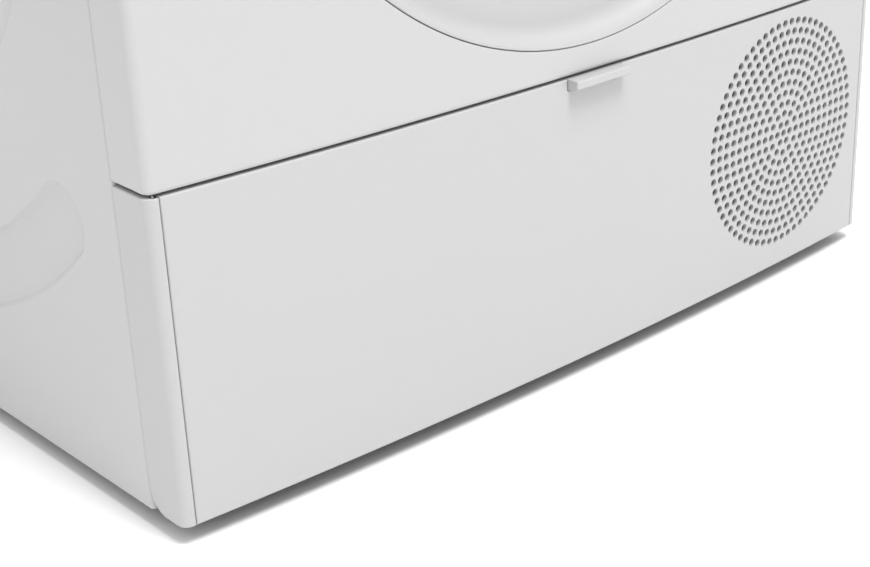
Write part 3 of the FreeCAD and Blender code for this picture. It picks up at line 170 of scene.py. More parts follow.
def pattern_node(tree, kind, scale):
    """The texture that gives a finish its grain, and the name of its output."""
    if kind == "cells":
        texture = tree.nodes.new("ShaderNodeTexVoronoi")
        texture.inputs["Scale"].default_value = scale
        return texture, "Distance"
    if kind == "waves":
        texture = tree.nodes.new("ShaderNodeTexWave")
        texture.inputs["Scale"].default_value = scale
        texture.inputs["Distortion"].default_value = 1.5
        return texture, "Fac"
    texture = tree.nodes.new("ShaderNodeTexNoise")
    texture.inputs["Scale"].default_value = scale
    texture.inputs["Detail"].default_value = 3
    return texture, "Fac"


def surface(name, tone_colour, roughness, grain, relief, kind="noise", stretch=(1, 1, 1), metallic=0.0,
            spread=0.02, uneven=0.04, coat=0.0):
    """A finish whose tone and gloss drift slowly, with a fine grain of this many waves a metre."""
    material = bpy.data.materials.new(name)
    material.use_nodes = True
    tree = material.node_tree
    shader = tree.nodes["Principled BSDF"]
    shader.inputs["Metallic"].default_value = metallic
    shader.inputs["Coat Weight"].default_value = coat
    place = tree.nodes.new("ShaderNodeTexCoord")
    scale = tree.nodes.new("ShaderNodeMapping")
    scale.inputs["Scale"].default_value = stretch
    tree.links.new(place.outputs["Object"], scale.inputs["Vector"])
    drift = tree.nodes.new("ShaderNodeTexNoise")
    drift.inputs["Scale"].default_value = 7
    drift.inputs["Detail"].default_value = 4
    tree.links.new(scale.outputs["Vector"], drift.inputs["Vector"])
    tone = tree.nodes.new("ShaderNodeValToRGB")
    for element, share in zip(tone.color_ramp.elements, (1 - spread, 1 + spread)):
        element.color = (*(channel * share for channel in tone_colour), 1)
    tree.links.new(drift.outputs["Fac"], tone.inputs["Fac"])
    tree.links.new(tone.outputs["Color"], shader.inputs["Base Color"])
    gloss = tree.nodes.new("ShaderNodeMapRange")
    gloss.inputs["To Min"].default_value = roughness - uneven
    gloss.inputs["To Max"].default_value = roughness + uneven
    tree.links.new(drift.outputs["Fac"], gloss.inputs["Value"])
    tree.links.new(gloss.outputs["Result"], shader.inputs["Roughness"])
    texture, output = pattern_node(tree, kind, grain)
    tree.links.new(scale.outputs["Vector"], texture.inputs["Vector"])
    bump = tree.nodes.new("ShaderNodeBump")
    bump.inputs["Strength"].default_value = 1
    bump.inputs["Distance"].default_value = relief
    tree.links.new(texture.outputs[output], bump.inputs["Height"])
    tree.links.new(bump.outputs["Normal"], shader.inputs["Normal"])
    return material


# Each finish: roughness, waves a metre, relief in metres, and what else sets it apart.
FINISHES = {
    "white_enamel": dict(roughness=0.30, grain=420, relief=4e-6, spread=0.006),
    "white_plastic": dict(roughness=0.36, grain=1500, relief=4e-6, spread=0.008),
    "white_laminate": dict(roughness=0.42, grain=900, relief=1e-5, kind="cells", spread=0.01),
    "grey_plastic": dict(roughness=0.45, grain=1300, relief=2e-5, spread=0.04),
    "dark_plastic": dict(roughness=0.42, grain=1200, relief=2e-5, spread=0.15),
    "zinc_steel": dict(roughness=0.34, grain=90, relief=2e-5, kind="cells", metallic=1.0, spread=0.10,
                       uneven=0.08),
    "drum_steel": dict(roughness=0.26, grain=260, relief=1e-5, stretch=(1, 0.04, 1), metallic=1.0,
                       spread=0.05, uneven=0.06),
    "black_rubber": dict(roughness=0.72, grain=1600, relief=3e-5, spread=0.2, uneven=0.08),
    "bearing_bronze": dict(roughness=0.4, grain=1500, relief=3e-5, metallic=1.0, spread=0.12),
    "coil_aluminium": dict(roughness=0.3, grain=300, relief=1e-4, kind="waves", metallic=1.0, spread=0.06),
    "black_enamel": dict(roughness=0.3, grain=500, relief=1e-5, spread=0.2, coat=0.3),
    "board": dict(roughness=0.4, grain=220, relief=4e-5, kind="cells", spread=0.35),
    "display_glass": dict(roughness=0.08, grain=700, relief=1e-6, spread=0.1, uneven=0.03, coat=0.6),
}


def finish_of(slot):
    """The material of a slot, made the first time it is asked for."""
    name = "finish_" + slot
    made = bpy.data.materials.get(name)
    if made:
        return made
    return surface(name, getattr(bpy.context.scene.dryer_colours, slot), **FINISHES[slot])


def paint(*nodes):
    """Gives frame nodes the finish of their own slots."""
    slots = {part["node"]: part["material_slot"] for part in frame["record"]["subparts"]}
    for name in nodes:
        item = frame["nodes"][name]
        item.data.materials.clear()
        item.data.materials.append(finish_of(slots[name]))


# ---------------------------------------------------------------- mesh work

def strip(mesh, rows, closed=False):
    """Faces between rows of points that have the same number of points each."""
    made = [[mesh.verts.new(point) for point in row] for row in rows]
    count = len(rows[0])
    for low, high in zip(made, made[1:]):
        for index in range(count if closed else count - 1):
            after = (index + 1) % count
            mesh.faces.new((low[index], low[after], high[after], high[index]))


def ring_pairs(start, count):
    return [(start + index, start + (index + 1) % count) for index in range(count)]


def fill(mesh, outline, holes, place, spots=(), lines=()):
    """Faces over a flat outline with holes; place turns two flat coordinates into a point in space.

    Lines are closed loops that the faces follow, and spots are further points inside the outline.
    """
    flat = []
    edges = []
    owner = []
    for number, loop in enumerate([outline, *holes, *lines]):
        edges += ring_pairs(len(flat), len(loop))
        flat += [Vector(point) for point in loop]
        owner += [number if 0 < number <= len(holes) else 0] * len(loop)
    flat += [Vector(point) for point in spots]
    owner += [0] * len(spots)
    points, _, faces, origin, _, _ = delaunay_2d_cdt(flat, edges, [], 1, 1e-7)
    made = [mesh.verts.new(place(*point)) for point in points]
    for face in faces:
        owners = {owner[origin[corner][0]] if origin[corner] else 0 for corner in face}
        if len(owners) == 1 and owners != {0}:
            continue
        mesh.faces.new([made[corner] for corner in face])


def roll(rounding, angle):
    """How far from its end and how far behind its face a rounded edge is at this angle."""
    turn = math.radians(angle)
    return rounding * (1 - math.sin(turn)), rounding * (1 - math.cos(turn))


def edge_rows(loop, place, rounding, deep, inward, wall=0.0):
    """Rows of points over the rounded edge of a plate, from its face to its back.

    The loop is the silhouette; inward gives each point's direction towards the face.
    """
    rows = [roll(rounding, angle) for angle in range(0, 91, 18)]
    rows.append((0.0, deep))
    if wall:
        rows += [(wall, deep), (wall, wall)]
    return [[place(point[0] + way[0] * aside, point[1] + way[1] * aside, depth)
             for point, way in zip(loop, inward)] for aside, depth in rows]


def mitres(loop):
    """For each corner of an anticlockwise loop, the way in, long enough to shift both its edges by one."""
    ways = []
    for index, point in enumerate(loop):
        before = Vector(point) - Vector(loop[index - 1])
        after = Vector(loop[(index + 1) % len(loop)]) - Vector(point)
        first = Vector((-before.y, before.x)).normalized()
        second = Vector((-after.y, after.x)).normalized()
        ways.append((first + second) / (1 + first.dot(second)))
    return ways


def shifted(loop, ways, aside):
    return [(point[0] + way[0] * aside, point[1] + way[1] * aside) for point, way in zip(loop, ways)]


def divided(corners, step):
    """A closed loop through these corners, with points no further apart than the step."""
    loop = []
    for index, corner in enumerate(corners):
        start = Vector(corner)
        end = Vector(corners[(index + 1) % len(corners)])
        count = max(1, math.ceil((end - start).length / step))
        loop += [tuple(start.lerp(end, part / count)) for part in range(count)]
    return loop


def circle(x, z, radius, count):
    return [(x + radius * math.cos(2 * math.pi * step / count),
             z + radius * math.sin(2 * math.pi * step / count)) for step in range(count)]


def evenly(low, high, count):
    return [low + (high - low) * step / (count - 1) for step in range(count)]


def piece(mesh, name, body, slot, *replaced, inside, wall=0.0):
    """Turns the mesh into a finished piece that rides on a body and stands for frame nodes."""
    bmesh.ops.remove_doubles(mesh, verts=mesh.verts, dist=2e-6)
    bmesh.ops.dissolve_degenerate(mesh, edges=mesh.edges, dist=1e-7)
    bmesh.ops.recalc_face_normals(mesh, faces=mesh.faces)
    outward = sum(face.calc_area() * face.normal.dot(face.calc_center_median() - Vector(inside))
                  for face in mesh.faces)
    if outward < 0:
        bmesh.ops.reverse_faces(mesh, faces=mesh.faces)
    data = bpy.data.meshes.new(name)
    mesh.to_mesh(data)
    mesh.free()
    data.shade_smooth()
    item = bpy.data.objects.new(name, data)
    bpy.context.scene.collection.objects.link(item)
    data.materials.append(finish_of(slot))
    if wall:
        shell = item.modifiers.new("wall", "SOLIDIFY")
        shell.thickness = wall
        shell.offset = -1
        shell.use_even_offset = True
    split = item.modifiers.new("edges", "EDGE_SPLIT")
    split.split_angle = math.radians(38)
    even = item.modifiers.new("shading", "WEIGHTED_NORMAL")
    even.weight = 100
    even.keep_sharp = True
    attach(item, body)
    if replaced:
        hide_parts(*replaced)
    return item


def turned(mesh, profile, centre, axis="y", count=96, closed=False, shape=None):
    """A turned surface: the profile's points are radius and place along the axis."""
    rows = []
    for radius, along in profile:
        row = []
        for step in range(count):
            angle = 2 * math.pi * step / count
            reach = radius * (shape(angle, along) if shape else 1)
            across, up = reach * math.cos(angle), reach * math.sin(angle)
            if axis == "y":
                row.append(Vector((centre[0] + across, along, centre[2] + up)))
            elif axis == "z":
                row.append(Vector((centre[0] + across, centre[1] + up, along)))
            else:
                row.append(Vector((along, centre[1] + across, centre[2] + up)))
        rows.append(row)
    if closed:
        rows.append(rows[0])
    strip(mesh, rows, closed=True)


def rounded_profile(points, rounding, steps=4):
    """The open line through these radius and place points, with its inner corners rounded."""
    line = [Vector(point) for point in points]
    result = [line[0]]
    for before, corner, after in zip(line, line[1:], line[2:]):
        back = min(rounding, (corner - before).length / 2, (after - corner).length / 2)
        start = corner + (before - corner).normalized() * back
        end = corner + (after - corner).normalized() * back
        for step in range(steps + 1):
            part = step / steps
            result.append(start.lerp(corner, part).lerp(corner.lerp(end, part), part))
    result.append(line[-1])
    return [tuple(point) for point in result]


# ---------------------------------------------------------------- front skin

def bow(x):
    """Where the bowed front surface is at this distance from the middle."""
    return BOW_CENTRE - math.sqrt(BOW_RADIUS ** 2 - x ** 2)


def on_front(x, z, depth=0.0):
    return Vector((x, bow(x) + depth, z))


def plan_stations(reach, corner_round, rear):
    """Points and outward directions along the front skin's plan, from its left return to x = reach."""
    centre_x = HALF - corner_round
    centre_y = BOW_CENTRE - math.sqrt((BOW_RADIUS - corner_round) ** 2 - centre_x ** 2)
    turn = math.asin(centre_x / (BOW_RADIUS - corner_round))
    stations = [((-HALF, y), (-1.0, 0.0)) for y in evenly(rear, centre_y, 5)[:-1]]
    for part in evenly(0, 1, 9):
        angle = math.pi + part * (math.pi / 2 - turn)
        way = (math.cos(angle), math.sin(angle))
        stations.append(((-centre_x + corner_round * way[0], centre_y + corner_round * way[1]), way))
    corner = len(stations) - 1
    count = max(3, math.ceil((reach + centre_x) / 0.009))
    for part in evenly(0, 1, count)[1:]:
        x = stations[corner][0][0] + part * (reach - stations[corner][0][0])
        stations.append(((x, bow(x)), (x / BOW_RADIUS, (bow(x) - BOW_CENTRE) / BOW_RADIUS)))
    return stations, corner


def plan_row(stations, z, inset=0.0):
    return [Vector((point[0] - way[0] * inset, point[1] - way[1] * inset, z)) for point, way in stations]


def rolled_rows(stations, z, rounding, up, flange):
    """Rows over a rounded edge that ends at height z; up is 1 for a top edge and -1 for a lower one."""
    rows = []
    for angle in range(0, 91, 15):
        drop, inset = roll(rounding, angle)
        rows.append(plan_row(stations, z - up * drop, inset))
    rows.append(plan_row(stations, z, rounding + flange))
    return rows


class DRYER_OT_front_panel(Operator):
    """Make the bowed steel front with its round opening"""

    bl_idname = "dryer.front_panel"
    bl_label = "Front panel"

    def execute(self, context):
        sizes = context.scene.dryer_shapes
        mesh = bmesh.new()
        left, corner = plan_stations(0.0, sizes.corner_round, PANEL_HIGH.y)
        mirrored = [((-point[0], point[1]), (-way[0], way[1])) for point, way in reversed(left[:-1])]
        stations = left + mirrored
        low, high = PANEL_LOW.z + sizes.seam_round, PANEL_HIGH.z - sizes.front_wall
        heights = evenly(low, high, 44)
        strip(mesh, rolled_rows(stations, PANEL_LOW.z, sizes.seam_round, -1, 2.6 * MM))
        strip(mesh, rolled_rows(stations, PANEL_HIGH.z, sizes.front_wall, 1, 3 * MM))
        for part in (stations[:corner + 1], stations[-corner - 1:]):
            strip(mesh, [plan_row(part, z) for z in heights])
        across = [point[0] for point, _ in stations[corner:-corner]]
        outline = [(x, low) for x in across] + [(across[-1], z) for z in heights[1:]]
        outline += [(x, high) for x in reversed(across[:-1])]
        outline += [(across[0], z) for z in reversed(heights[1:-1])]
        radius = DOOR_RADIUS + sizes.door_gap
        count = 240
        hole = circle(0, DOOR_Z, radius, count)
        ways = [(math.cos(2 * math.pi * step / count), math.sin(2 * math.pi * step / count))
                for step in range(count)]
        guard = circle(0, DOOR_Z, radius + sizes.door_edge + 2 * MM, count)
        spots = [(x, z) for x in evenly(-0.28, 0.28, 29) for z in evenly(low + 0.006, high - 0.006, 27)
                 if math.hypot(x, z - DOOR_Z) > radius + 0.006]
        fill(mesh, outline, [shifted(hole, ways, sizes.door_edge)], on_front, spots, [guard])
        strip(mesh, edge_rows(hole, on_front, sizes.door_edge, 7 * MM, ways), closed=True)
        piece(mesh, "front_skin", "cabinet", "white_enamel", "front_panel",
              inside=(0, 0, DOOR_Z), wall=sizes.sheet)
        return {"FINISHED"}


class DRYER_OT_corner_strips(Operator):
    """Make the two plastic strips beside the flap"""

    bl_idname = "dryer.corner_strips"
    bl_label = "Corner strips"

    def execute(self, context):
        sizes = context.scene.dryer_shapes
        edge = 0.8 * MM
        foot = 15 * MM
        for side, name in ((1, "corner_strip_left"), (-1, "corner_strip_right")):
            mesh = bmesh.new()
            low, high = STRIP_LOW.z, STRIP_HIGH.z
            heights = [low + foot * (1 - math.cos(math.radians(angle))) for angle in range(0, 91, 9)]
            heights = heights[:-1] + evenly(low + foot, high, 12)

            def row(z, inset=0.0):
                rear = STRIP_HIGH.y
                if z < low + foot:
                    rear += math.sqrt(foot ** 2 - (foot - (z - low)) ** 2) - foot
                stations, _ = plan_stations(STRIP_HIGH.x - edge, sizes.corner_round, rear)
                last = stations[-1][0]
                for angle in (30, 60, 90):
                    way = (math.sin(math.radians(angle)), -math.cos(math.radians(angle)))
                    stations.append(((last[0] + edge * way[0], last[1] + edge + edge * way[1]), way))
                stations.append(((last[0] + edge, last[1] + 7 * MM), (1.0, 0.0)))
                points = plan_row(stations, z, inset)
                return [Vector((point.x * side, point.y, point.z)) for point in points]

            rows = [row(low + drop, inset) for drop, inset in (roll(edge, angle) for angle in (90, 60, 30))]
            rows += [row(z) for z in heights if low + edge <= z <= high - edge]
            rows += [row(high - drop, inset)
                     for drop, inset in (roll(edge, angle) for angle in (0, 30, 60, 90))]
            rows.append(row(high, 3.5 * MM))
            strip(mesh, rows)
            piece(mesh, name + "_shell", "cabinet", "white_plastic", name,
                  inside=(side * -0.28, CORNERS_Y + 0.02, 0.1), wall=sizes.sheet)
        return {"FINISHED"}


class DRYER_OT_service_flap(Operator):
    """Make the flap with its rings of holes, and finish its pull tab"""

    bl_idname = "dryer.service_flap"
    bl_label = "Service flap"

    def execute(self, context):
        sizes = context.scene.dryer_shapes
        mesh = bmesh.new()
        room = 0.4 * MM
        low, high = FLAP_LOW.z, FLAP_HIGH.z
        left, right = FLAP_LOW.x, FLAP_HIGH.x
        tab_root = 6.6 * MM
        notch = TAB_HIGH.z - tab_root - room
        near, far = TAB_LOW.x - room, TAB_HIGH.x + room
        corners = [(left, low), (right, low), (right, high), (far, high), (far, notch), (near, notch),
                   (near, high), (left, high)]
        loop = divided(corners, 9 * MM)
        ways = mitres(loop)

        def turned_in(x, z, depth):
            """The lower edge has no flange, so that the flap can swing down past the base."""
            bare = z < low + sizes.flap_wall + 0.1 * MM
            return on_front(x, z, min(depth, sizes.flap_wall) if bare else depth)

        strip(mesh, edge_rows(loop, turned_in, sizes.flap_edge, sizes.flap_flange, ways, sizes.flap_wall),
              closed=True)
        middle_x = (FAN_LOW.x + FAN_HIGH.x) / 2
        middle_z = (FAN_LOW.z + FAN_HIGH.z) / 2
        centres = [(middle_x, middle_z)]
        for ring in range(1, sizes.grille_rings + 1):
            centres += circle(middle_x, middle_z, ring * sizes.grille_pitch, 6 * ring)
        count = 18
        turns = [(math.cos(2 * math.pi * step / count), math.sin(2 * math.pi * step / count))
                 for step in range(count)]
        mouths = []
        backs = []
        for centre in centres:
            hole = circle(*centre, sizes.grille_hole, count)
            rows = edge_rows(hole, on_front, sizes.grille_lip, sizes.flap_wall, turns)
            strip(mesh, rows[::2], closed=True)
            mouths.append(shifted(hole, turns, sizes.grille_lip))
            backs.append(hole)
        reach = (sizes.grille_rings + 1) * sizes.grille_pitch
        side_room, top_room = 8 * MM, 16 * MM
        spots = [(x, z) for x in evenly(left + side_room, right - side_room, 60)
                 for z in evenly(low + side_room, high - top_room, 18)
                 if math.hypot(x - middle_x, z - middle_z) > reach]
        face = shifted(loop, ways, sizes.flap_edge)
        guard = shifted(loop, ways, sizes.flap_edge + 1.5 * MM)
        fill(mesh, face, mouths, on_front, spots, [guard])
        back = shifted(loop, ways, sizes.flap_wall)
        fill(mesh, back, backs, lambda x, z: on_front(x, z, sizes.flap_wall), spots)
        pivot = (0, CORNERS_Y + 6 * MM, BASE_Z + 8 * MM)
        bore, eye, ear = 2.1 * MM, 4.4 * MM, 6 * MM
        for side in (-1, 1):
            near = side * (HALF - 26.4 * MM)
            far = near - side * ear
            turned(mesh, rounded_profile([(bore, near), (eye, near), (eye, far), (bore, far)], 0.5 * MM),
                   pivot, "x", 32, closed=True)
            bridge = bmesh.ops.create_cube(mesh, size=1)["verts"]
            front, rear = CORNERS_Y + 0.4 * MM, pivot[1] - 2.3 * MM
            bmesh.ops.scale(mesh, vec=(abs(far - near), rear - front, 8 * MM), verts=bridge)
            bmesh.ops.translate(mesh, vec=((near + far) / 2, (front + rear) / 2, pivot[2]), verts=bridge)
        piece(mesh, "flap_shell", "flap", "white_plastic", "service_flap",
              inside=(0, CORNERS_Y + 0.2, (low + high) / 2))
        paint("flap_release_tab")
        return {"FINISHED"}


# ---------------------------------------------------------------- cabinet

def groove_loop(middle_y, middle_z, radius, half_angle, reach, up):
    """The outline at this reach from a curved pressing's centre line, bent round the middle."""
    points = []

    def at(distance, angle):
        return (middle_y + distance * math.sin(angle), middle_z + up * distance * math.cos(angle))

    turns = evenly(-half_angle, half_angle, 60)
    points += [at(radius + reach, angle) for angle in turns]
    for side, angle in ((1, half_angle), (-1, -half_angle)):
        centre = Vector(at(radius, angle))
        out = (Vector(at(radius + 1, angle)) - centre).normalized()
        along = Vector((math.cos(angle), -up * math.sin(angle))) * side
        cap = []
        for part in evenly(0, math.pi, 21)[1:-1]:
            cap.append(tuple(centre + reach * (out * math.cos(part) + along * math.sin(part))))
        if side == 1:
            points += cap
            points += [at(radius - reach, turn) for turn in reversed(turns)]
        else:
            points += cap[::-1]
    return points


def soft_step(share):
    share = min(1.0, max(0.0, share))
    return share * share * (3 - 2 * share)


class DRYER_OT_side_panels(Operator):
    """Make the steel side panels with their soft pressed shapes"""

    bl_idname = "dryer.side_panels"
    bl_label = "Side panels"

    def execute(self, context):
        sizes = context.scene.dryer_shapes
        middle_y = CORNERS_Y + sizes.press_back
        middle_z = sizes.press_height
        radius = (sizes.groove_inner + sizes.groove_outer) / 2
        width = (sizes.groove_outer - sizes.groove_inner) / 2
        slope = sizes.press_slope

        def pressed(y, z):
            """Depth of the pressing at this place."""
            away = math.hypot(y - middle_y, z - middle_z)
            depth = soft_step((sizes.disc_radius - away) / slope)
            angle = math.atan2(y - middle_y, abs(z - middle_z))
            inside = max(-sizes.groove_angle, min(sizes.groove_angle, angle))
            near = Vector((math.sin(inside), math.cos(inside))) * radius
            gap = (Vector((y - middle_y, abs(z - middle_z))) - near).length
            return sizes.press_depth * max(depth, soft_step((width - gap) / slope))

        fold = sizes.fold_round
        front = SIDE_LOW.y
        corners = [(front + fold, SIDE_LOW.z), (SIDE_HIGH.y, SIDE_LOW.z), (SIDE_HIGH.y, SIDE_HIGH.z),
                   (front + fold, SIDE_HIGH.z)]
        outline = divided(corners, 12 * MM)
        steps = evenly(0, 1, 11)
        lines = [circle(middle_y, middle_z, sizes.disc_radius - slope * step, 200) for step in steps]
        for up in (-1, 1):
            lines += [groove_loop(middle_y, middle_z, radius, sizes.groove_angle, width - slope * step, up)
                      for step in steps]
        spots = [(y, z) for y in evenly(front + 0.012, SIDE_HIGH.y - 0.01, 24)
                 for z in evenly(SIDE_LOW.z + 0.01, SIDE_HIGH.z - 0.01, 60)]
        for side, name in ((-1, "side_panel_left"), (1, "side_panel_right")):
            mesh = bmesh.new()
            fill(mesh, outline, [], lambda y, z: Vector((side * (HALF - pressed(y, z)), y, z)), spots, lines)
            heights = sorted({point[1] for point in outline if abs(point[0] - corners[0][0]) < 1e-7})
            rows = []
            for angle in range(0, 91, 15):
                drop, inset = roll(fold, angle)
                rows.append([Vector((side * (HALF - inset), front + drop, z)) for z in heights])
            rows.append([Vector((side * (HALF - 9 * MM), front, z)) for z in heights])
            strip(mesh, rows)
            piece(mesh, name + "_sheet", "cabinet", "white_enamel", name,
                  inside=(0, 0, middle_z), wall=sizes.sheet * 0.9)
        return {"FINISHED"}


class DRYER_OT_cabinet(Operator):
    """Finish the worktop, the back and the base"""

    bl_idname = "dryer.cabinet"
    bl_label = "Worktop, back and base"

    def execute(self, context):
        paint("worktop", "back_panel", "back_screws", "mains_gland", "base_tray", "rear_wall")
        return {"FINISHED"}


# ---------------------------------------------------------------- door

class DRYER_OT_door(Operator):
    """Make the dished door shell and its seal, and finish the parts that go with them"""

    bl_idname = "dryer.door"
    bl_label = "Door"

    def execute(self, context):
        sizes = context.scene.dryer_shapes
        mesh = bmesh.new()
        count = 288
        edge = 0.7 * MM
        back = SHELL_HIGH.y
        floor = CORNERS_Y - BOW + sizes.dish_depth
        radius = sizes.dish_round
        centre_y = floor - radius
        centre_r = DOOR_RADIUS - 0.9 * MM - radius

        def ring(points_at):
            """Rows of points, one for each point of the profile that a bearing gives."""
            columns = []
            for step in range(count):
                bearing = 2 * math.pi * step / count
                ways = (math.cos(bearing), math.sin(bearing))
                front = bow(DOOR_RADIUS * ways[0])
                columns.append([Vector((r * ways[0], y, DOOR_Z + r * ways[1])) for r, y in points_at(front)])
            return [list(row) for row in zip(*columns)]

        def profile(front):
            points = [(DOOR_RADIUS - 0.6 * MM, back), (DOOR_RADIUS, front + 4 * MM)]
            for angle in (0, 30, 60, 90):
                drop, inset = roll(edge, angle)
                points.append((DOOR_RADIUS - inset, front + drop))
            start = math.acos(max(0.0, min(1.0, (front + edge - centre_y) / radius)))
            inner = centre_r + radius * math.sin(start)
            points.append((inner, front + 0.1 * MM))
            points.append((inner - 0.1 * MM, max(front + edge, centre_y + radius * math.cos(start))))
            for part in evenly(0.02, 1, 22):
                angle = start * (1 - part)
                points.append((centre_r + radius * math.sin(angle), centre_y + radius * math.cos(angle)))
            for share in (0.985, 0.9, 0.6, 0.3, 0.02):
                points.append((centre_r * share, floor))
            return points

        strip(mesh, ring(profile), closed=True)
        strip(mesh, ring(lambda front: [(DOOR_RADIUS - 0.6 * MM, back), (DOOR_RADIUS * 0.5, back),
                                        (DOOR_RADIUS * 0.02, back)]), closed=True)
        for y in (floor, back):
            mid = mesh.verts.new((0, y, DOOR_Z))
            share = centre_r * 0.02 if y == floor else DOOR_RADIUS * 0.02
            rim = [mesh.verts.new((x, y, z)) for x, z in circle(0, DOOR_Z, share, count)]
            for first, second in zip(rim, rim[1:] + rim[:1]):
                mesh.faces.new((mid, first, second))
        piece(mesh, "door_shell", "door", "white_plastic", "door_outer_shell",
              inside=(0, (floor + back) / 2, DOOR_Z))
        mesh = bmesh.new()
        low, high = SEAL_LOW.y, SEAL_HIGH.y
        outer = (SEAL_HIGH.x - SEAL_LOW.x) / 2
        points = [(outer - 9 * MM, low), (outer, low), (outer - 0.6 * MM, low + 1.5 * MM),
                  (outer - 2 * MM, low + 2 * MM), (outer - 1.2 * MM, low + 3 * MM), (outer - 3 * MM, high),
                  (outer - 4.6 * MM, low + 2.6 * MM), (outer - 6.4 * MM, high),
                  (outer - 7.6 * MM, low + 2.2 * MM), (outer - 9 * MM, low)]
        turned(mesh, rounded_profile(points, 0.6 * MM, 3), (0, 0, DOOR_Z), "y", 160)
        piece(mesh, "door_seal_lips", "door", "black_rubber", "door_seal",
              inside=(0, (low + high) / 2, DOOR_Z))
        paint("door_inner_plug", "door_grip", "door_latch_hook", "door_hinge_arms", "door_hinge_bracket",
              "door_lock")
        return {"FINISHED"}


# ---------------------------------------------------------------- controls

class DRYER_OT_controls(Operator):
    """Make the fluted dial and its scale, and finish the fascia, the drawer and the buttons"""

    bl_idname = "dryer.controls"
    bl_label = "Controls and drawer"

    def execute(self, context):
        sizes = context.scene.dryer_shapes
        centre = ((DIAL_LOW.x + DIAL_HIGH.x) / 2, 0, (DIAL_LOW.z + DIAL_HIGH.z) / 2)
        radius = (DIAL_HIGH.x - DIAL_LOW.x) / 2
        front = DIAL_LOW.y
        base = bow(centre[0]) - 0.4 * MM
        mesh = bmesh.new()

        def fluted(angle, along):
            if front + 2 * MM < along < base - 2 * MM:
                return 1 - 0.018 * (0.5 + 0.5 * math.cos(angle * sizes.flutes)) ** 2
            return 1

        profile = rounded_profile([(NEAR_AXIS, front + 1 * MM), (radius * 0.62, front + 0.9 * MM),
                                   (radius * 0.72, front), (radius * 0.94, front), (radius, base),
                                   (radius * 0.86, base), (NEAR_AXIS, base)], 1.4 * MM)
        dense = []
        for first, second in zip(profile, profile[1:]):
            parts = max(1, math.ceil(math.dist(first, second) / (1.6 * MM)))
            dense += [(first[0] + (second[0] - first[0]) * part / parts,
                       first[1] + (second[1] - first[1]) * part / parts) for part in range(parts)]
        turned(mesh, dense + profile[-1:], centre, "y", sizes.flutes * 8, shape=fluted)
        pointer = [(-0.9 * MM, radius * 0.35), (0.9 * MM, radius * 0.35), (0.9 * MM, radius * 0.6),
                   (-0.9 * MM, radius * 0.6)]
        loop = divided(pointer, 1 * MM)
        raised = front + 0.4 * MM

        def on_knob(x, z, depth=0.0):
            return Vector((centre[0] + x, raised + depth, centre[2] + z))

        strip(mesh, edge_rows(loop, on_knob, 0.3 * MM, 0.8 * MM, mitres(loop)), closed=True)
        fill(mesh, shifted(loop, mitres(loop), 0.3 * MM), [], on_knob)
        piece(mesh, "dial_knob", "dial", "white_plastic", "program_dial", inside=(centre[0], base, centre[2]))
        mesh = bmesh.new()
        for step in range(16):
            bearing = 2 * math.pi * step / 16
            spin = Matrix.Rotation(bearing, 2)
            near, far = radius + 4 * MM, radius + 8 * MM
            mark = [spin @ Vector(point) for point in ((-0.5 * MM, near), (-0.5 * MM, far),
                                                       (0.5 * MM, far), (0.5 * MM, near))]
            mark = [(centre[0] + point.x, centre[2] + point.y) for point in reversed(mark)]
            loop = divided(mark, 1 * MM)
            ways = mitres(loop)
            strip(mesh, edge_rows(loop, lambda x, z, depth: on_front(x, z, depth - 0.25 * MM), 0.2 * MM,
                                  0.6 * MM, ways), closed=True)
            fill(mesh, shifted(loop, ways, 0.2 * MM), [], lambda x, z: on_front(x, z, -0.25 * MM))
        piece(mesh, "dial_scale", "cabinet", "grey_plastic", inside=(centre[0], CORNERS_Y + 0.2, centre[2]))
        paint("control_panel", "container_front", "power_button", "start_button", "option_button_left",
              "option_button_right", "display_window", "control_board", "condensate_tank", "tank_shelf")
        return {"FINISHED"}


# ---------------------------------------------------------------- inside

class DRYER_OT_drum(Operator):
    """Finish the drum, its drive, the front bulkhead and the lint filter"""

    bl_idname = "dryer.drum"
    bl_label = "Drum and drive"

    def execute(self, context):
        paint("drum", "drum_paddles", "drum_shaft", "drum_bearing", "drive_belt", "drum_motor",
              "motor_shaft_pulley", "process_fan", "fan_housing", "rear_air_duct", "front_roller_left",
              "front_roller_right", "roller_axles", "front_bulkhead", "filter_duct", "lint_filter")
        return {"FINISHED"}


class DRYER_OT_heat_pump(Operator):
    """Finish the heat pump in the base"""

    bl_idname = "dryer.heat_pump"
    bl_label = "Heat pump"

    def execute(self, context):
        paint("evaporator", "condenser", "compressor", "condensate_pump", "heat_exchanger_cover",
              "cover_lever_left", "cover_lever_right", "cooling_fan_frame", "cooling_fan")
        return {"FINISHED"}


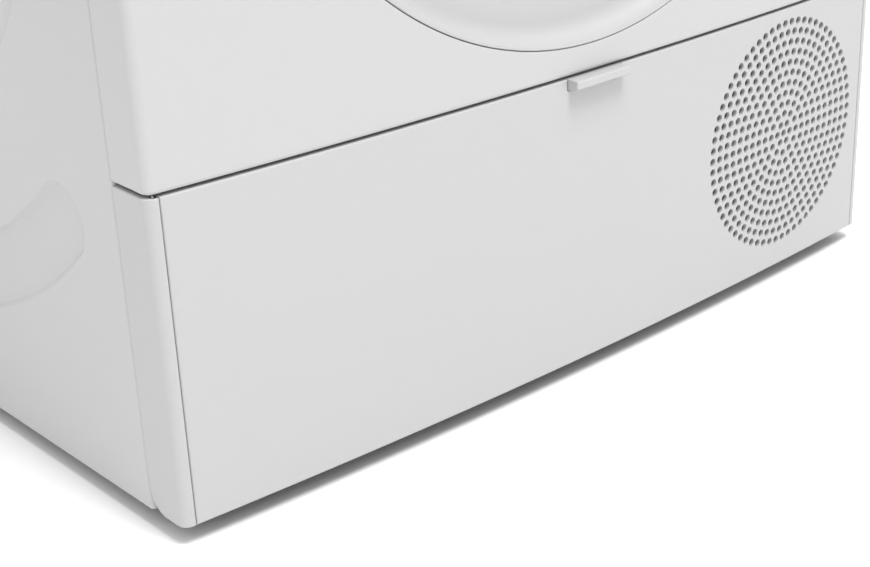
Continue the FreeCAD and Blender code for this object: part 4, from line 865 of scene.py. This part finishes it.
class DRYER_OT_feet(Operator):
    """Make the screw-adjusted front feet with their nuts, and finish the rear feet"""

    bl_idname = "dryer.feet"
    bl_label = "Feet"

    def execute(self, context):
        for name in ("front_foot_left", "front_foot_right"):
            low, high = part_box(name)
            x, y = (low.x + high.x) / 2, (low.y + high.y) / 2
            pad = (high.x - low.x) / 2
            stem = 5 * MM
            points = [(NEAR_AXIS, low.z), (pad - 1 * MM, low.z), (pad, low.z + 1 * MM),
                      (pad, low.z + 2.6 * MM), (pad - 0.8 * MM, low.z + 3.2 * MM), (pad, low.z + 3.8 * MM),
                      (pad - 0.6 * MM, low.z + 6 * MM), (pad * 0.6, low.z + 7.4 * MM),
                      (stem + 1 * MM, low.z + 8 * MM), (stem, low.z + 8.4 * MM)]
            thread = 1.25 * MM
            turns = int((high.z - low.z - 10 * MM) / thread)
            for turn in range(turns):
                at = low.z + 8.6 * MM + turn * thread
                points += [(stem - 0.5 * MM, at), (stem, at + thread / 2)]
            points += [(stem - 0.6 * MM, high.z), (NEAR_AXIS, high.z)]
            mesh = bmesh.new()
            turned(mesh, points, (x, y, 0), "z", 64)
            body = "foot_left" if "left" in name else "foot_right"
            piece(mesh, name + "_pad", body, "black_rubber", name, inside=(x, y, (low.z + high.z) / 2))
        paint("rear_feet")
        return {"FINISHED"}


# ---------------------------------------------------------------- stage

class DRYER_OT_stage(Operator):
    """Set the floor, the light and the camera"""

    bl_idname = "dryer.stage"
    bl_label = "Stage"

    def execute(self, context):
        scene = context.scene
        stage = scene.dryer_stage
        mesh = bpy.data.meshes.new("floor")
        reach = 6.0
        mesh.from_pydata([(-reach, -reach, 0), (reach, -reach, 0), (reach, reach, 0), (-reach, reach, 0)],
                         [], [(0, 1, 2, 3)])
        floor = bpy.data.objects.new("floor", mesh)
        scene.collection.objects.link(floor)
        ground = surface("floor", (0.93, 0.93, 0.93), 0.9, 40, 1e-5, spread=0.004)
        shader = ground.node_tree.nodes["Principled BSDF"]
        shader.inputs["Emission Color"].default_value = (1, 1, 1, 1)
        shader.inputs["Emission Strength"].default_value = stage.glow
        mesh.materials.append(ground)
        scene.view_settings.view_transform = "Standard"
        world = bpy.data.worlds.new("studio")
        world.use_nodes = True
        tree = world.node_tree
        place = tree.nodes.new("ShaderNodeTexCoord")
        split = tree.nodes.new("ShaderNodeSeparateXYZ")
        rise = tree.nodes.new("ShaderNodeMapRange")
        rise.inputs["To Min"].default_value = stage.horizon
        rise.inputs["To Max"].default_value = stage.sky
        tree.links.new(place.outputs["Generated"], split.inputs["Vector"])
        tree.links.new(split.outputs["Z"], rise.inputs["Value"])
        tree.links.new(rise.outputs["Result"], tree.nodes["Background"].inputs["Strength"])
        tree.nodes["Background"].inputs["Color"].default_value = (1, 1, 1, 1)
        scene.world = world
        data = bpy.data.lights.new("key", "AREA")
        data.size = 1.1
        data.energy = stage.key
        lamp = bpy.data.objects.new("key", data)
        lamp.location = (-0.1, -1.5, 3.1)
        lamp.rotation_euler = (Vector((0, -0.2, 0.3)) - lamp.location).to_track_quat("-Z", "Y").to_euler()
        scene.collection.objects.link(lamp)
        data = bpy.data.cameras.new("camera")
        data.lens = stage.lens
        data.shift_x = stage.shift
        camera = bpy.data.objects.new("camera", data)
        camera.location = Vector((0, CORNERS_Y, BASE_Z)) + Vector(stage.camera)
        camera.rotation_euler = Euler((math.pi / 2 - stage.pitch, 0, -stage.yaw))
        scene.collection.objects.link(camera)
        scene.camera = camera
        return {"FINISHED"}


STEPS = (DRYER_OT_side_panels, DRYER_OT_front_panel, DRYER_OT_corner_strips, DRYER_OT_service_flap,
         DRYER_OT_cabinet, DRYER_OT_door, DRYER_OT_controls, DRYER_OT_drum, DRYER_OT_heat_pump,
         DRYER_OT_feet, DRYER_OT_stage)


class DRYER_PT_sidebar(Panel):
    """Lists the dryer's pieces and their settings"""

    bl_idname = "DRYER_PT_sidebar"
    bl_label = "Clothes Dryer"
    bl_space_type = "VIEW_3D"
    bl_region_type = "UI"
    bl_category = "Dryer"

    def draw(self, context):
        layout = self.layout
        for step in STEPS:
            layout.operator(step.bl_idname)
        for settings in (context.scene.dryer_colours, context.scene.dryer_shapes, context.scene.dryer_stage):
            box = layout.box()
            for name in settings.__annotations__:
                box.prop(settings, name)


CLASSES = (DryerColours, DryerShapes, DryerStage, *STEPS, DRYER_PT_sidebar)


def register():
    for item in CLASSES:
        bpy.utils.register_class(item)
    bpy.types.Scene.dryer_colours = PointerProperty(type=DryerColours)
    bpy.types.Scene.dryer_shapes = PointerProperty(type=DryerShapes)
    bpy.types.Scene.dryer_stage = PointerProperty(type=DryerStage)


def unregister():
    del bpy.types.Scene.dryer_colours
    del bpy.types.Scene.dryer_shapes
    del bpy.types.Scene.dryer_stage
    for item in reversed(CLASSES):
        bpy.utils.unregister_class(item)


def main():
    register()
    bpy.ops.dryer.side_panels()
    bpy.ops.dryer.front_panel()
    bpy.ops.dryer.corner_strips()
    bpy.ops.dryer.service_flap()
    bpy.ops.dryer.cabinet()
    bpy.ops.dryer.door()
    bpy.ops.dryer.controls()
    bpy.ops.dryer.drum()
    bpy.ops.dryer.heat_pump()
    bpy.ops.dryer.feet()
    bpy.ops.dryer.stage()


if __name__ == "__main__":
    main()
